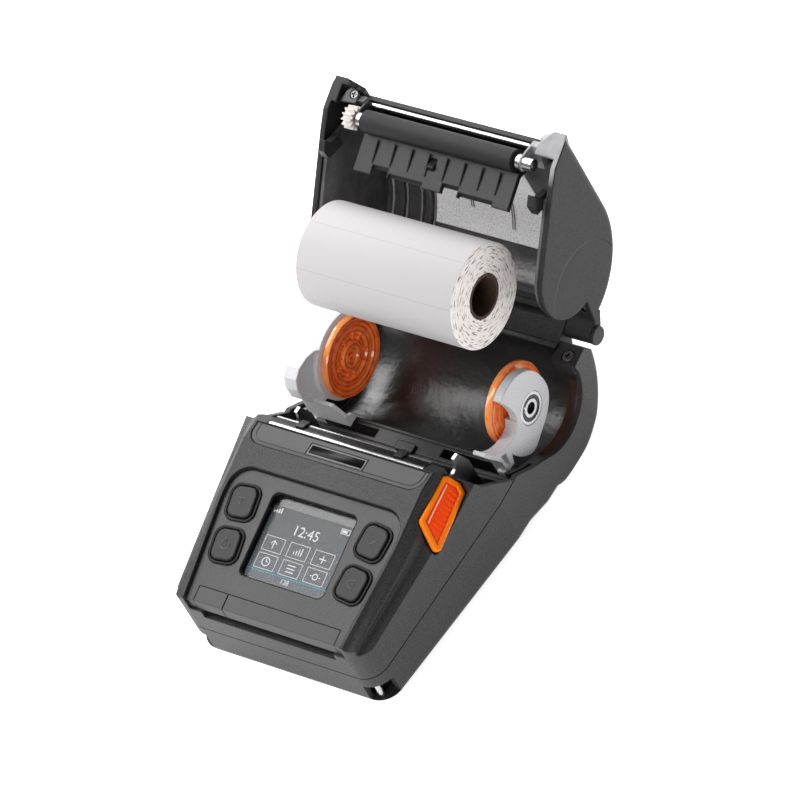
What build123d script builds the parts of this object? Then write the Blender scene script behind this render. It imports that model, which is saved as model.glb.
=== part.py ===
from build123d import *
import os
from math import atan2, cos, degrees, pi, radians, sin, sqrt

os.makedirs("parts", exist_ok=True)

# A mobile label printer for 80 mm rolls, standing on its flat underside, cover open.
# The origin is the middle of the underside, +X is the operator's right, +Y is the hinge
# side, +Z is up. All sizes are in millimetres.

# Body seen from above
front_y = -79.0          # front face
front_half = 48.7        # half width at the front face
wide_half = 58.3         # half width from the tear bar backwards
wide_y = 9.0             # where the side walls stop flaring
rear_half = 55.0         # half width at the rear corners
rear_corner_y = 71.0     # where the side walls start to draw in
front_corner = 10.0      # plan radius of the front corners

# Body seen from the side
wall = 2.4               # shell thickness
floor_z = 3.0            # underside of the front part, over the battery
foot_y = 18.0            # where the underside starts to slope down to the rear part
heel_foot_y = 30.0       # where the rear part's underside starts
split_front = 20.5       # height of the parting line at the front face
split_slope = 0.088      # its rise per millimetre of depth
split_groove = 0.5       # height of the shadow groove along the parting line
lcd_y = -46.5            # middle of the screen
panel_z = 47.8           # height of the control pad there
panel_slope = 0.253      # rise of the panel per millimetre of depth
rim_height = 1.8         # how far the housing stands above the pads
crest_y = -10.5          # where the panel turns level before the tear bar
mouth_y = 3.2            # rear edge of the panel, under the tear bar
arm_end_y = 9.0          # rear ends of the arms beside the tear bar
ridge_rise = 0.185       # rise of the shoulder ridge per millimetre of depth
ridge_z = 51.1           # height of the ridge at y = 0
nose_radius = 11.0       # rounding between panel and front face

# Roll, its bay and the hinge
roll_width = 77.8
roll_radius = 21.9
core_radius = 9.6
core_wall = 1.5
spool_y = 51.0
spool_z = 34.5
bay_radius = 28.5        # inside of the trough
bay_wall = 2.0
rear_radius = 38.0       # outside of the body round the bay
hinge_y = 90.5
hinge_z = 35.5
open_angle = 99.0        # the cover stands this far from closed
barrel_radius = 3.9
barrel_half = 45.0       # half length of the body's hinge barrel
pin_radius = 2.0
fit = 0.05               # radial clearance of a running fit
gap = 0.4                # clearance between neighbouring mouldings

# Platen and print line, in the cover's own frame when it is closed
platen_dy = -81.2        # from the hinge axis towards the front
platen_dz = 9.4          # above the hinge axis
platen_radius = 4.6
platen_half = 37.6
shaft_radius = 1.5
bush_radius = 3.1
rod_dy = -82.0
rod_dz = 17.7

platen_y = hinge_y + platen_dy
platen_z = hinge_z + platen_dz

# The cover is drawn as if closed and placed by these planes at its open angle.
lean = radians(open_angle)
cover_side = Plane(
    origin=(0, hinge_y, hinge_z),
    x_dir=(0, cos(lean), -sin(lean)),
    z_dir=(1, 0, 0),
)
cover_top = Plane(
    origin=(0, hinge_y, hinge_z),
    x_dir=(1, 0, 0),
    z_dir=(0, sin(lean), cos(lean)),
)


def split_z(y):
    """Height of the parting line between the two housings."""
    return split_front + split_slope * (y - front_y)


def pad_z(y):
    """Height of the control pad's face."""
    return panel_z + panel_slope * (y - lcd_y)


def rim_z(y):
    """Height of the housing round the pads."""
    return pad_z(y) + rim_height


def side_x(y):
    """Half width of the body at depth y, in front of the bay."""
    share = (y - front_y) / (wide_y - front_y)
    return front_half + (wide_half - front_half) * share


def body_plan(inset=0.0, height=0.0):
    """Outline of the body from above, drawn in by inset."""
    with BuildSketch(Plane.XY.offset(height)) as plan:
        with BuildLine():
            corners = [
                (front_half - inset, front_y + inset),
                (wide_half - inset, wide_y),
                (wide_half - inset, rear_corner_y),
                (rear_half - inset, hinge_y + barrel_radius),
            ]
            mirrored = [(-x, y) for x, y in reversed(corners)]
            Polyline(*corners, *mirrored, close=True)
        make_face()
        fronts = plan.vertices().group_by(Axis.Y)[0]
        fillet(fronts, radius=front_corner - inset)
        turns = plan.vertices().filter_by(lambda v: abs(v.Y - rear_corner_y) < 1)
        fillet(turns, radius=22)
    return plan.sketch


def extrude_plan(inset, low, high, mode):
    """Keep or cut everything inside the body's outline between two heights."""
    extrude(body_plan(inset, low), amount=high - low, mode=mode)


def prism_x(points, half, mode=Mode.ADD, center=0.0, side=Plane.YZ):
    """A side profile through points, as thick as twice half, centred at x = center."""
    with BuildSketch(side.offset(center)) as profile:
        with BuildLine():
            Polyline(*points, close=True)
        make_face()
    extrude(profile.sketch, amount=half, both=True, mode=mode)


def disc_x(center, radius, x_from, x_to, mode=Mode.ADD, side=Plane.YZ):
    """A round bar along X about a point of the side view."""
    with BuildSketch(side.offset(x_from)) as section:
        with Locations(center):
            Circle(radius)
    extrude(section.sketch, amount=x_to - x_from, mode=mode)


def pin_z(x, y, radius, z_from, z_to, mode=Mode.ADD, top=Plane.XY):
    """A round bar along Z."""
    with BuildSketch(top.offset(z_from)) as section:
        with Locations((x, y)):
            Circle(radius)
    extrude(section.sketch, amount=z_to - z_from, mode=mode)


def block(x_range, y_range, z_range, mode=Mode.ADD, top=Plane.XY):
    """A plain block between three pairs of limits."""
    middle = (sum(x_range) / 2, sum(y_range) / 2)
    with BuildSketch(top.offset(z_range[0])) as section:
        with Locations(middle):
            Rectangle(x_range[1] - x_range[0], y_range[1] - y_range[0])
    extrude(section.sketch, amount=z_range[1] - z_range[0], mode=mode)


def save(part, name):
    """Label one finished piece and write its file."""
    part.label = name
    export_step(part, f"parts/{name}.step")


# Top line of the housing, from the front face back to the mouth.
crest_z = rim_z(crest_y)
mouth_z = crest_z - 3.4
lip_y = mouth_y - 5.2
arm_top_z = 49.4         # the arms lie lower than the cover's horns
arm_mid = (6.6, 43.4)
arm_end_z = 41.4


def top_profile(drop, front_in, low, arms=False):
    """Side profile under the panel, lowered by drop and drawn in at the front."""
    face_y = front_y + front_in
    points = [
        (face_y, low),
        (face_y, rim_z(face_y) - drop),
        (crest_y, crest_z - drop),
        (lip_y, crest_z - drop),
        (mouth_y, mouth_z - drop),
    ]
    if arms:
        points += [(mouth_y, arm_top_z), arm_mid, (arm_end_y, arm_end_z), (arm_end_y, low)]
    else:
        points += [(mouth_y, low)]
    with BuildSketch(Plane.YZ) as profile:
        with BuildLine():
            Polyline(*points, close=True)
        make_face()
        corner = (0, face_y, rim_z(face_y) - drop)
        nose = profile.vertices().sort_by_distance(corner)[0]
        fillet(nose, radius=nose_radius - front_in)
    return profile.sketch


# Control pad outline from above: wider at the back, with round rear corners.
pad_rear_y = -21.5
pad_rear_half = 43.0
pad_front_half = 36.5
pad_flare_y = -36.0      # where the pad's sides turn
pad_corner = 9.5
pad_thick = 1.8
pad_inset = 1.2          # how far the pad lies behind the front face
pad_low_z = 34.4         # bottom edge of the pad on the front face
seam = 0.25              # joint line between pads and housing


def pad_plan(grow=0.0, height=0.0):
    """Outline of the control pad from above, grown by grow."""
    front = front_y - 1
    rear = pad_rear_y + grow
    with BuildSketch(Plane.XY.offset(height)) as plan:
        with BuildLine():
            Polyline(
                (-pad_front_half - 2.6 - grow, front),
                (pad_front_half + 2.6 + grow, front),
                (pad_rear_half + grow, pad_flare_y),
                (pad_rear_half - 0.4 + grow, rear),
                (-pad_rear_half + 0.4 - grow, rear),
                (-pad_rear_half - grow, pad_flare_y),
                close=True,
            )
        make_face()
        fillet(plan.vertices().group_by(Axis.Y)[-1], radius=pad_corner)
        turns = plan.vertices().filter_by(lambda v: abs(v.Y - pad_flare_y) < 0.5)
        fillet(turns, radius=30)
    return plan.sketch


def pad_band(grow):
    """Everything over the pad's underside and inside its outline."""
    with BuildPart() as band:
        extrude(pad_plan(grow, pad_low_z - grow), amount=50)
        under = top_profile(rim_height + pad_thick, pad_inset + pad_thick, 0)
        extrude(under, amount=70, both=True, mode=Mode.SUBTRACT)
    return band.part


# Tear pad: the level plate between the control pad and the tear bar.
tear_pad_front_y = -12.0
tear_pad_half = 43.2
tear_pad_drop = 0.3
tear_pad_thick = 1.4


def tear_pad_plan(grow, height):
    """Outline of the tear pad from above, with two round front corners."""
    front = tear_pad_front_y - grow
    rear = lip_y - 0.5 + grow
    with BuildSketch(Plane.XY.offset(height)) as plan:
        with Locations((0, (front + rear) / 2)):
            Rectangle(2 * (tear_pad_half + grow), rear - front)
        fillet(plan.vertices().group_by(Axis.Y)[0], radius=6)
    return plan.sketch


# Screen window and the four keys, measured along the sloping panel.
tilt = degrees(atan2(panel_slope, 1))
panel_plane = Plane(
    origin=(0, lcd_y, panel_z),
    x_dir=(1, 0, 0),
    z_dir=(0, -sin(radians(tilt)), cos(radians(tilt))),
)
window_w = 42.6
window_h = 37.0
window_up = 1.6
window_corner = 3.0
glass_drop = 2.0         # the glass lies this far under the pad's face
glass_thick = 1.1
glass_margin = 1.8       # how far the glass reaches behind the window's edge
module_thick = 3.3
board_thick = 1.6
board_drop = 6.8         # the key board's face, under the pad's face
board_half = 37.2
key_w = 11.6
key_h = 13.2
key_corner = 3.6
key_gap = 0.35
key_proud = 1.3
key_under = 2.3
key_travel = 1.2
key_spots = {
    "feed_key": (-33.0, 11.6),
    "power_key": (-31.7, -7.0),
    "enter_key": (32.6, 11.6),
    "back_key": (31.9, -7.0),
}
key_lean = 6.0           # the keys lean with the flare of the sides


def window_sketch(grow, drop):
    """The screen window's rounded outline, lowered along the panel's normal."""
    with BuildSketch(panel_plane.offset(-drop)) as window:
        with Locations((0, window_up)):
            RectangleRounded(window_w + 2 * grow, window_h + 2 * grow, window_corner + grow / 2)
    return window.sketch


def key_sketch(spot, grow, drop):
    """One key's rounded outline, lowered along the panel's normal."""
    turn = -key_lean if spot[0] > 0 else key_lean
    with BuildSketch(panel_plane.offset(-drop)) as outline:
        with Locations(Location((spot[0], spot[1]), turn)):
            RectangleRounded(key_w + 2 * grow, key_h + 2 * grow, key_corner + grow)
    return outline.sketch


# Shoulders: beside the pads the surface falls away to a ridge, then the flat side.
def shoulder_section(y, side):
    """Cross-section of the air above one shoulder at depth y."""
    narrowing = (pad_rear_half - pad_front_half - 2.6) / (pad_flare_y - front_y + 1)
    edge = pad_rear_half + 1.6 - max(0, pad_flare_y - y) * narrowing
    top = crest_z + 12
    rim = min(rim_z(y), crest_z)
    ridge = ridge_z + ridge_rise * y
    outer = side_x(y)
    surface = [
        (edge, rim - 0.4),
        (edge + 2.2, rim - 1.9),
        (edge + 4.6, (rim + ridge) / 2 - 0.6),
        (outer - 4.0, ridge + 0.2),
        (outer - 1.4, ridge - 1.4),
        (outer + 1.5, ridge - 5.0),
    ]
    surface = [(side * x, z) for x, z in surface]
    with BuildSketch(Plane(origin=(0, y, 0), x_dir=(1, 0, 0), z_dir=(0, -1, 0))) as section:
        with BuildLine():
            Spline(*surface)
            Polyline(
                surface[-1], (side * (outer + 8), ridge - 5.0),
                (side * (outer + 8), top), (side * edge, top), surface[0],
            )
        make_face()
    return section.sketch


def cut_shoulder(side):
    """Cut the air above one shoulder as a ruled loft in two runs."""
    sections = [shoulder_section(y, side) for y in (front_y - 4, pad_flare_y, crest_y, 14.0)]
    loft(sections=sections, ruled=True, mode=Mode.SUBTRACT)


# Side edge of the bay, where the closed cover's lobe hangs beside the roll.
rim_circle = (53.5, 35.0)
rim_circle_r = 21.4
arm_y = 2.8              # rear edge of the outer side wall at the shoulder
notch = (5.2, 45.3)
heel_y = 22.5            # where the edge meets the parting line
heel_z = split_z(heel_y)

# Opening lever on the right shoulder
lever_push = (0.75, 0, 0.66)
lever_plane = Plane(origin=(53.5, -12.0, 48.9), x_dir=(0, 1, 0), z_dir=lever_push)
lever_points = [(12.6, 9.3), (-9.7, 7.2), (-17.2, -6.9), (11.6, -2.2), (13.6, 1.6)]
lever_travel = 2.5
lever_thick = 2.6
lever_gap = 0.5


def lever_prism(grow, low, high, mode):
    """The lever's outline pushed along the direction in which it is pressed."""
    with BuildSketch(lever_plane.offset(low)) as outline:
        with BuildLine():
            Polyline(*lever_points, close=True)
        make_face()
        fillet(outline.vertices(), radius=1.8)
        if grow:
            offset(amount=grow)
    extrude(outline.sketch, amount=high - low, mode=mode)


# Upper housing
arm_inner_x = 47.2       # inner face of the arms beside the tear bar
port_half = 33.0
head_room_z = 46.5       # the print head works below this height
tear_seat_half = 39.3
wide_room_y = -34.0      # the inside is wider behind this line
wide_room_half = 41.0
gear_room = [(-17.5, 20.0), (-17.5, 44.5), (-9.0, 48.5), (mouth_y + 0.1, 48.5),
             (mouth_y + 0.1, 20.0)]


def room_under_panel(front, rear):
    """Side profile of the room between two depths, a skin's depth under the panel."""
    skin = rim_height + pad_thick + 1.0
    return [
        (front, 10), (front, min(rim_z(front), crest_z) - skin - 0.6),
        (min(rear, crest_y), min(rim_z(rear), crest_z) - skin - 0.6),
        (rear, crest_z - skin - 0.6), (rear, 10),
    ]


def side_room():
    """Room inside the upper housing, up to its side walls and under its shoulders."""
    room_front = front_y + wall + 4
    points = [
        (room_front, 10), (room_front, ridge_z + ridge_rise * front_y - 5.5),
        (mouth_y - 1.6, ridge_z - 6.0), (mouth_y - 1.6, 10),
    ]
    with BuildPart() as room:
        prism_x(points, 70)
        extrude_plan(wall, 0, 90, Mode.INTERSECT)
    return room.part


# Room for the closed cover's horns at the rear ends of the shoulders
horn_room_side = [(-0.65, 56.1), (4.6, 47.25), (12.0, 47.25), (12.0, 80.0), (-0.65, 80.0)]
horn_room_plan = [(43.9, 4.2), (51.4, -0.8), (62.0, -0.8), (62.0, 12.0), (43.9, 12.0)]

with BuildPart() as horn_room:
    with BuildSketch(Plane.XY) as plan:
        with BuildLine():
            Polyline(*horn_room_plan, close=True)
        make_face()
        mirror(about=Plane.YZ)
    extrude(plan.sketch, amount=90)
    prism_x(horn_room_side, 70, Mode.INTERSECT)

with BuildPart() as upper_housing:
    extrude(top_profile(0, 0, split_front - 12, arms=True), amount=70, both=True)
    rear_cut = [
        (arm_y, 80), (arm_y, 51.0), notch, (heel_y, heel_z - 2), (heel_y + 20, heel_z - 2),
        (heel_y + 20, 80),
    ]
    skirt = [
        (mouth_y - 6, notch[1]), notch, (heel_y, heel_z), (heel_y, heel_z - 8),
        (mouth_y - 6, heel_z - 8),
    ]
    for side in (1, -1):
        prism_x(skirt, 6, Mode.ADD, side * (wide_half - 6))
        prism_x(rear_cut, 2.6, Mode.SUBTRACT, side * (wide_half - 1.0))
        cut_shoulder(side)
    extrude_plan(0, 0, 90, Mode.INTERSECT)
    below_split = [
        (front_y - 5, split_z(front_y - 5)), (heel_y + 30, split_z(heel_y + 30)),
        (heel_y + 30, -20), (front_y - 5, -20),
    ]
    prism_x(below_split, 70, Mode.SUBTRACT)
    with BuildPart() as split_ring:
        groove_top = [(y, z + split_groove) for y, z in reversed(below_split[:2])]
        prism_x(below_split[:2] + groove_top, 70)
        extrude_plan(0.9, 0, 60, Mode.SUBTRACT)
    add(split_ring.part, mode=Mode.SUBTRACT)
    # Inside: open towards the lower housing and towards the print head.
    nose_room_y = front_y + 10
    front_room = [
        (front_y + pad_inset + pad_thick + 1.0, 10),
        (front_y + pad_inset + pad_thick + 1.0, 33.0),
        (nose_room_y, rim_z(nose_room_y) - 5.4), (wide_room_y + 1, rim_z(wide_room_y) - 5.2),
        (wide_room_y + 1, 10),
    ]
    prism_x(front_room, pad_front_half + 1.5, Mode.SUBTRACT)
    prism_x(room_under_panel(wide_room_y, mouth_y - 1.6), wide_room_half, Mode.SUBTRACT)
    add(side_room(), mode=Mode.SUBTRACT)
    block((-arm_inner_x, arm_inner_x), (mouth_y, 40), (10, 90), Mode.SUBTRACT)
    block((-arm_inner_x, arm_inner_x), (mouth_y - 4, 40), (10, head_room_z), Mode.SUBTRACT)
    behind_arms = [
        (mouth_y - 1.7, 10), (mouth_y - 1.7, 46.5), (30, 46.5), (30, 10),
    ]
    prism_x(behind_arms, wide_half - wall, Mode.SUBTRACT)
    for side in (1, -1):
        prism_x(gear_room, (arm_inner_x - wide_room_half) / 2 + 0.5, Mode.SUBTRACT,
                side * (arm_inner_x + wide_room_half) / 2)
    add(horn_room.part, mode=Mode.SUBTRACT)
    # Seats of the pads, the tear bar, the keys, the screen and the port block.
    add(pad_band(seam), mode=Mode.SUBTRACT)
    low = crest_z - tear_pad_drop - tear_pad_thick
    extrude(tear_pad_plan(seam, low), amount=8, mode=Mode.SUBTRACT)
    tear_seat = [(lip_y + 0.1, 62), (lip_y + 0.1, 57.3), (mouth_y + 0.5, 53.6), (mouth_y + 0.5, 62)]
    prism_x(tear_seat, tear_seat_half, Mode.SUBTRACT)
    extrude(window_sketch(glass_margin + gap, 9.0), amount=9, mode=Mode.SUBTRACT)
    for spot in key_spots.values():
        extrude(key_sketch(spot, 0.8, 5.0), amount=5, mode=Mode.SUBTRACT)
    block((-port_half - gap, port_half + gap), (front_y, front_y + 12), (30.6, 36.4), Mode.SUBTRACT)
    lever_prism(lever_gap, -lever_thick - lever_travel - 2.0, 12, Mode.SUBTRACT)

save(upper_housing.part, "upper_housing")

# Lower housing
arc_top_z = 27.5         # where the round back meets the hinge block
block_y = 73.9           # front face of the hinge blocks
block_top_z = 35.5
block_rear_y = 83.5
rear_wall_y = 81.7       # inner face of the rear wall
battery_half = 33.0
battery_y = (-66.0, 14.0)
battery_top = 15.7
bay_skin = 1.6
strap_x = 42.7
strap_y = -75.0
screw_spot = (52.0, 78.0)
screw_head = 2.6
screw_head_h = 1.4
screw_shank = 1.3


def back_arc(radius):
    """End and middle points of the round back's arc, and its bottom end."""
    bottom_z = rear_radius - radius
    bottom = (spool_y + sqrt(radius**2 - (spool_z - bottom_z) ** 2), bottom_z)
    top = (spool_y + sqrt(radius**2 - (spool_z - arc_top_z) ** 2), arc_top_z)
    turn = radians(-38)
    middle = (spool_y + radius * cos(turn), spool_z + radius * sin(turn))
    return bottom, middle, top


with BuildPart() as lower_housing:
    bottom, middle, top = back_arc(rear_radius)
    with BuildSketch(Plane.YZ) as outside:
        with BuildLine():
            Polyline(
                (front_y, floor_z), (foot_y, floor_z), (heel_foot_y, 0), bottom,
            )
            ThreePointArc(bottom, middle, top)
            Polyline(
                top, (block_rear_y, block_top_z), (block_y, block_top_z), (74.4, 30.5),
            )
            ThreePointArc((74.4, 30.5), (rim_circle[0], rim_circle[1] - rim_circle_r), (40.5, 18))
            Polyline(
                (40.5, 18), (31, 23.4), (heel_y, heel_z), (front_y, split_front),
                (front_y, floor_z),
            )
        make_face()
        fillet(outside.vertices().sort_by_distance((0, front_y, floor_z))[0], radius=6)
    extrude(outside.sketch, amount=70, both=True)
    extrude_plan(0, -5, 60, Mode.INTERSECT)
    flank_edges = edges().filter_by(
        lambda e: e.center().Z < floor_z + 0.1
        and abs(e.center().X) > front_half - front_corner
        and e.center().Y > front_y + 15
    )
    fillet(flank_edges, radius=4)
    # Tub
    bottom, middle, top = back_arc(rear_radius - wall)
    with BuildSketch(Plane.YZ) as inside:
        with BuildLine():
            Polyline(
                (front_y + wall, 60), (front_y + wall, floor_z + wall),
                (foot_y, floor_z + wall), (heel_foot_y, wall), bottom,
            )
            ThreePointArc(bottom, middle, top)
            Polyline(top, (rear_wall_y, 34.0), (rear_wall_y, 60), (front_y + wall, 60))
        make_face()
        fillet(inside.vertices().sort_by_distance((0, front_y + wall, floor_z + wall))[0], radius=4)
    with BuildPart() as tub:
        extrude(inside.sketch, amount=70, both=True)
        extrude_plan(wall, -5, 90, Mode.INTERSECT)
    add(tub.part, mode=Mode.SUBTRACT)
    # Battery bay, open below
    block((-battery_half - gap - bay_skin, battery_half + gap + bay_skin),
          (battery_y[0] - gap - bay_skin, battery_y[1] + gap + bay_skin),
          (floor_z, battery_top + gap + bay_skin))
    block((-battery_half - gap, battery_half + gap),
          (battery_y[0] - gap, battery_y[1] + gap), (-2, battery_top + gap), Mode.SUBTRACT)
    # Hinge blocks, rear wall and hinge barrel
    for side in (1, -1):
        x_pair = sorted((side * (barrel_half + 0.5), side * (wide_half - wall + 0.1)))
        block(x_pair, (block_y, block_rear_y - 0.6), (29, block_top_z))
    rear_web = [
        (rear_wall_y, 29.0), (rear_wall_y, 36.2), (hinge_y - 1.0, hinge_z + 3.7),
        (hinge_y, hinge_z), (hinge_y - 0.8, hinge_z - 3.8), (88.0, arc_top_z),
    ]
    prism_x(rear_web, barrel_half)
    disc_x((hinge_y, hinge_z), barrel_radius, -barrel_half, barrel_half)
    extrude_plan(0, -5, 60, Mode.INTERSECT)
    disc_x((hinge_y, hinge_z), pin_radius + fit, -60, 60, Mode.SUBTRACT)
    for side in (1, -1):
        pin_z(side * screw_spot[0], screw_spot[1], screw_head + 0.3,
              block_top_z - screw_head_h, block_top_z + 5, Mode.SUBTRACT)
        pin_z(side * screw_spot[0], screw_spot[1], screw_shank + fit, 30, 40, Mode.SUBTRACT)
        # Strap slots at the front corners
        x_pair = sorted((side * 39.6, side * 60))
        block(x_pair, (front_y - 2, strap_y + 4.2), (5.2, 15.0), Mode.SUBTRACT)
        pin_z(side * strap_x, strap_y, 1.55, 3.6, 17.4, Mode.SUBTRACT)

save(lower_housing.part, "lower_housing")

with BuildPart() as strap_pins:
    for side in (1, -1):
        pin_z(side * strap_x, strap_y, 1.5, 3.7, 17.3)

save(strap_pins.part, "strap_pins")

with BuildPart() as battery_pack:
    block((-battery_half, battery_half), battery_y, (0, battery_top))
    fillet(battery_pack.edges().filter_by(Axis.Z), radius=3)
    fillet(battery_pack.faces().sort_by(Axis.Z)[0].edges(), radius=1)

save(battery_pack.part, "battery_pack")


def phillips_screw(place, head_r, head_h, shank_r, shank_l):
    """A pan-head screw with a cross recess, its head's top at the plane's origin."""
    with BuildPart() as screw:
        with BuildSketch(place.offset(-head_h)) as head:
            Circle(head_r)
        extrude(head.sketch, amount=head_h)
        fillet(screw.edges().filter_by(GeomType.CIRCLE).sort_by(
            lambda e: (e.center() - place.origin).length)[0], radius=0.4)
        with BuildSketch(place.offset(-head_h - shank_l)) as shank:
            Circle(shank_r)
        extrude(shank.sketch, amount=shank_l)
        with BuildSketch(place.offset(-0.9)) as cross:
            Rectangle(2.6, 0.7)
            Rectangle(0.7, 2.6)
        extrude(cross.sketch, amount=2, mode=Mode.SUBTRACT)
    return screw.part


with BuildPart() as housing_screws:
    for side in (1, -1):
        place = Plane(origin=(side * screw_spot[0], screw_spot[1], block_top_z + 0.02))
        add(phillips_screw(place, screw_head, screw_head_h, screw_shank, 3.5))

save(housing_screws.part, "housing_screws")

# Roll chamber: the glossy trough round the roll, with its two cheeks
cheek_in = 51.5
cheek_out = 53.5
flange_out = wide_half - wall - 0.3
trough_front = (spool_y - 2 * 18.2, spool_z - 2 * 21.6)   # the sheet ends on this radius

with BuildPart() as roll_chamber:
    with BuildSketch(Plane.YZ) as ring:
        with Locations((spool_y, spool_z)):
            Circle(bay_radius + bay_wall)
            Circle(bay_radius, mode=Mode.SUBTRACT)
        with BuildLine():
            Polyline(
                trough_front, (spool_y, spool_z), (spool_y + 40, spool_z + 2.8),
                (spool_y + 40, 80), (-10, 80), close=True,
            )
        make_face(mode=Mode.SUBTRACT)
    extrude(ring.sketch, amount=cheek_out, both=True)
    for side in (1, -1):
        x_pair = sorted((side * (barrel_half + 0.2), side * 60))
        block(x_pair, (block_y - 0.5, 90), (26, 40), Mode.SUBTRACT)
    for side in (1, -1):
        for x_low, x_high, radius in (
            (cheek_in, cheek_out, bay_radius + bay_wall), (cheek_out, flange_out, 24.0),
        ):
            x_mid = side * (x_low + x_high) / 2
            with BuildSketch(Plane.YZ.offset(x_mid)) as cheek:
                center = (spool_y, spool_z) if radius > 25 else rim_circle
                with Locations(center):
                    Circle(radius)
                with Locations(rim_circle):
                    Circle(rim_circle_r + 0.5, mode=Mode.SUBTRACT)
                with BuildLine():
                    Polyline(
                        (0, 80), (0, 50), (heel_y, heel_z - 0.6), (31, 22.6), (40.5, 17.4),
                        (spool_y, 25), (block_y - 0.5, 30), (block_y - 0.5, -10), (120, -10),
                        (120, 80), close=True,
                    )
                make_face(mode=Mode.SUBTRACT)
                with Locations((heel_y + 0.2 - 20, 20)):
                    Rectangle(40, 60, mode=Mode.SUBTRACT)
            extrude(cheek.sketch, amount=(x_high - x_low) / 2, both=True)
    block((-barrel_half, barrel_half), (rear_wall_y - 2.4, rear_wall_y - 0.3), (33.0, 36.3))

save(roll_chamber.part, "roll_chamber")

# Pads, badge plate, screen and keys
with BuildPart() as pads:
    over = top_profile(rim_height, pad_inset, 0)
    extrude(over, amount=70, both=True)
    add(pad_band(0), mode=Mode.INTERSECT)
    extrude(window_sketch(0, 6), amount=12, mode=Mode.SUBTRACT)
    for spot in key_spots.values():
        extrude(key_sketch(spot, key_gap, 6), amount=12, mode=Mode.SUBTRACT)

crease_y = -71.5         # between the control pad and the rubber port cover
crease_half = 35.4
slit_x = -21.0           # the port cover folds here
slit = 0.5
port_zone_top = 60.0

with BuildPart() as port_zone:
    block((-crease_half, crease_half), (front_y - 5, crease_y), (0, port_zone_top))

with BuildPart() as control_pad:
    add(pads.part)
    block((-crease_half - seam, crease_half + seam), (front_y - 5, crease_y + seam),
          (0, port_zone_top), Mode.SUBTRACT)

save(control_pad.part, "control_pad")

with BuildPart() as port_cover:
    add(pads.part)
    block((slit_x + slit / 2, crease_half), (front_y - 5, crease_y), (0, port_zone_top),
          Mode.INTERSECT)

save(port_cover.part, "port_cover")

with BuildPart() as port_cover_tab:
    add(pads.part)
    block((-crease_half, slit_x - slit / 2), (front_y - 5, crease_y), (0, port_zone_top),
          Mode.INTERSECT)

save(port_cover_tab.part, "port_cover_tab")

with BuildPart() as port_block:
    block((-port_half, port_half), (front_y + pad_inset + pad_thick + 0.5, -66), (30.9, 36.1))
    for x, width in ((-27.5, 8.0), (-7.0, 9.0), (16.0, 22.0)):
        block((x - width / 2, x + width / 2), (front_y, front_y + 9), (32.0, 35.0), Mode.SUBTRACT)

save(port_block.part, "port_block")

badge_half = 14.2
badge_y = (-10.2, -4.8)
badge_thick = 0.6

with BuildPart() as tear_pad:
    low = crest_z - tear_pad_drop - tear_pad_thick
    extrude(tear_pad_plan(0, low), amount=tear_pad_thick)
    extrude(top_profile(tear_pad_drop, 0, 0), amount=70, both=True, mode=Mode.INTERSECT)
    block((-badge_half - 0.2, badge_half + 0.2), (badge_y[0] - 0.2, badge_y[1] + 0.2),
          (low + tear_pad_thick - 0.5, low + 9), Mode.SUBTRACT)

save(tear_pad.part, "tear_pad")

with BuildPart() as name_plate:
    plate_z = low + tear_pad_thick - 0.45
    block((-badge_half, badge_half), badge_y, (plate_z, plate_z + badge_thick))

save(name_plate.part, "name_plate")

with BuildPart() as display_glass:
    extrude(window_sketch(glass_margin, glass_drop + glass_thick), amount=glass_thick)

save(display_glass.part, "display_glass")

with BuildPart() as display_module:
    top_drop = glass_drop + glass_thick + 0.1
    extrude(window_sketch(glass_margin - 0.6, top_drop + module_thick), amount=module_thick)

save(display_module.part, "display_module")

with BuildPart() as key_board:
    with BuildSketch(panel_plane.offset(-board_drop - board_thick)) as board:
        with Locations((0, 2)):
            RectangleRounded(2 * board_half, 36, 2)
    extrude(board.sketch, amount=board_thick)

save(key_board.part, "key_board")

with BuildPart() as key_mat:
    mat_thick = 0.9
    dome_r = 3.2
    for side in (1, -1):
        with BuildSketch(panel_plane.offset(-board_drop + 0.05)) as mat:
            with Locations((side * (board_half + 25.2) / 2, 2)):
                RectangleRounded(board_half - 25.2, 34, 2)
        extrude(mat.sketch, amount=mat_thick)
    for spot in key_spots.values():
        with BuildSketch(panel_plane.offset(-board_drop + mat_thick)) as dome:
            with Locations(spot):
                Circle(dome_r)
        extrude(dome.sketch, amount=board_drop - mat_thick - key_under - key_travel - 0.3)

save(key_mat.part, "key_mat")

for name, spot in key_spots.items():
    with BuildPart() as key:
        extrude(key_sketch(spot, 0, key_under), amount=key_under + key_proud)
        crown = key.faces().sort_by_distance(panel_plane.offset(40).location.position)[0]
        fillet(crown.edges(), radius=0.7)
    save(key.part, name)

# Opening lever and its spring
with BuildPart() as open_lever:
    lever_prism(0, -lever_thick, 0, Mode.ADD)
    crown = open_lever.faces().sort_by(Axis((0, 0, 0), lever_push))[-1]
    fillet(crown.edges(), radius=0.8)

save(open_lever.part, "open_lever")

with BuildPart() as lever_spring:
    spring_plane = lever_plane.offset(-lever_thick - lever_travel - 0.4)
    with BuildSketch(spring_plane) as leaf:
        with Locations((-2, 1)):
            Rectangle(16, 4)
    extrude(leaf.sketch, amount=-0.5)
    with BuildSketch(spring_plane) as feet:
        with Locations((-9, 1), (5, 1)):
            Rectangle(1.6, 4)
    extrude(feet.sketch, amount=-1.6)
    with BuildSketch(spring_plane) as bump:
        with Locations((-2, 1)):
            Rectangle(3, 4)
    extrude(bump.sketch, amount=lever_travel * 0.05)

save(lever_spring.part, "lever_spring")

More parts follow.
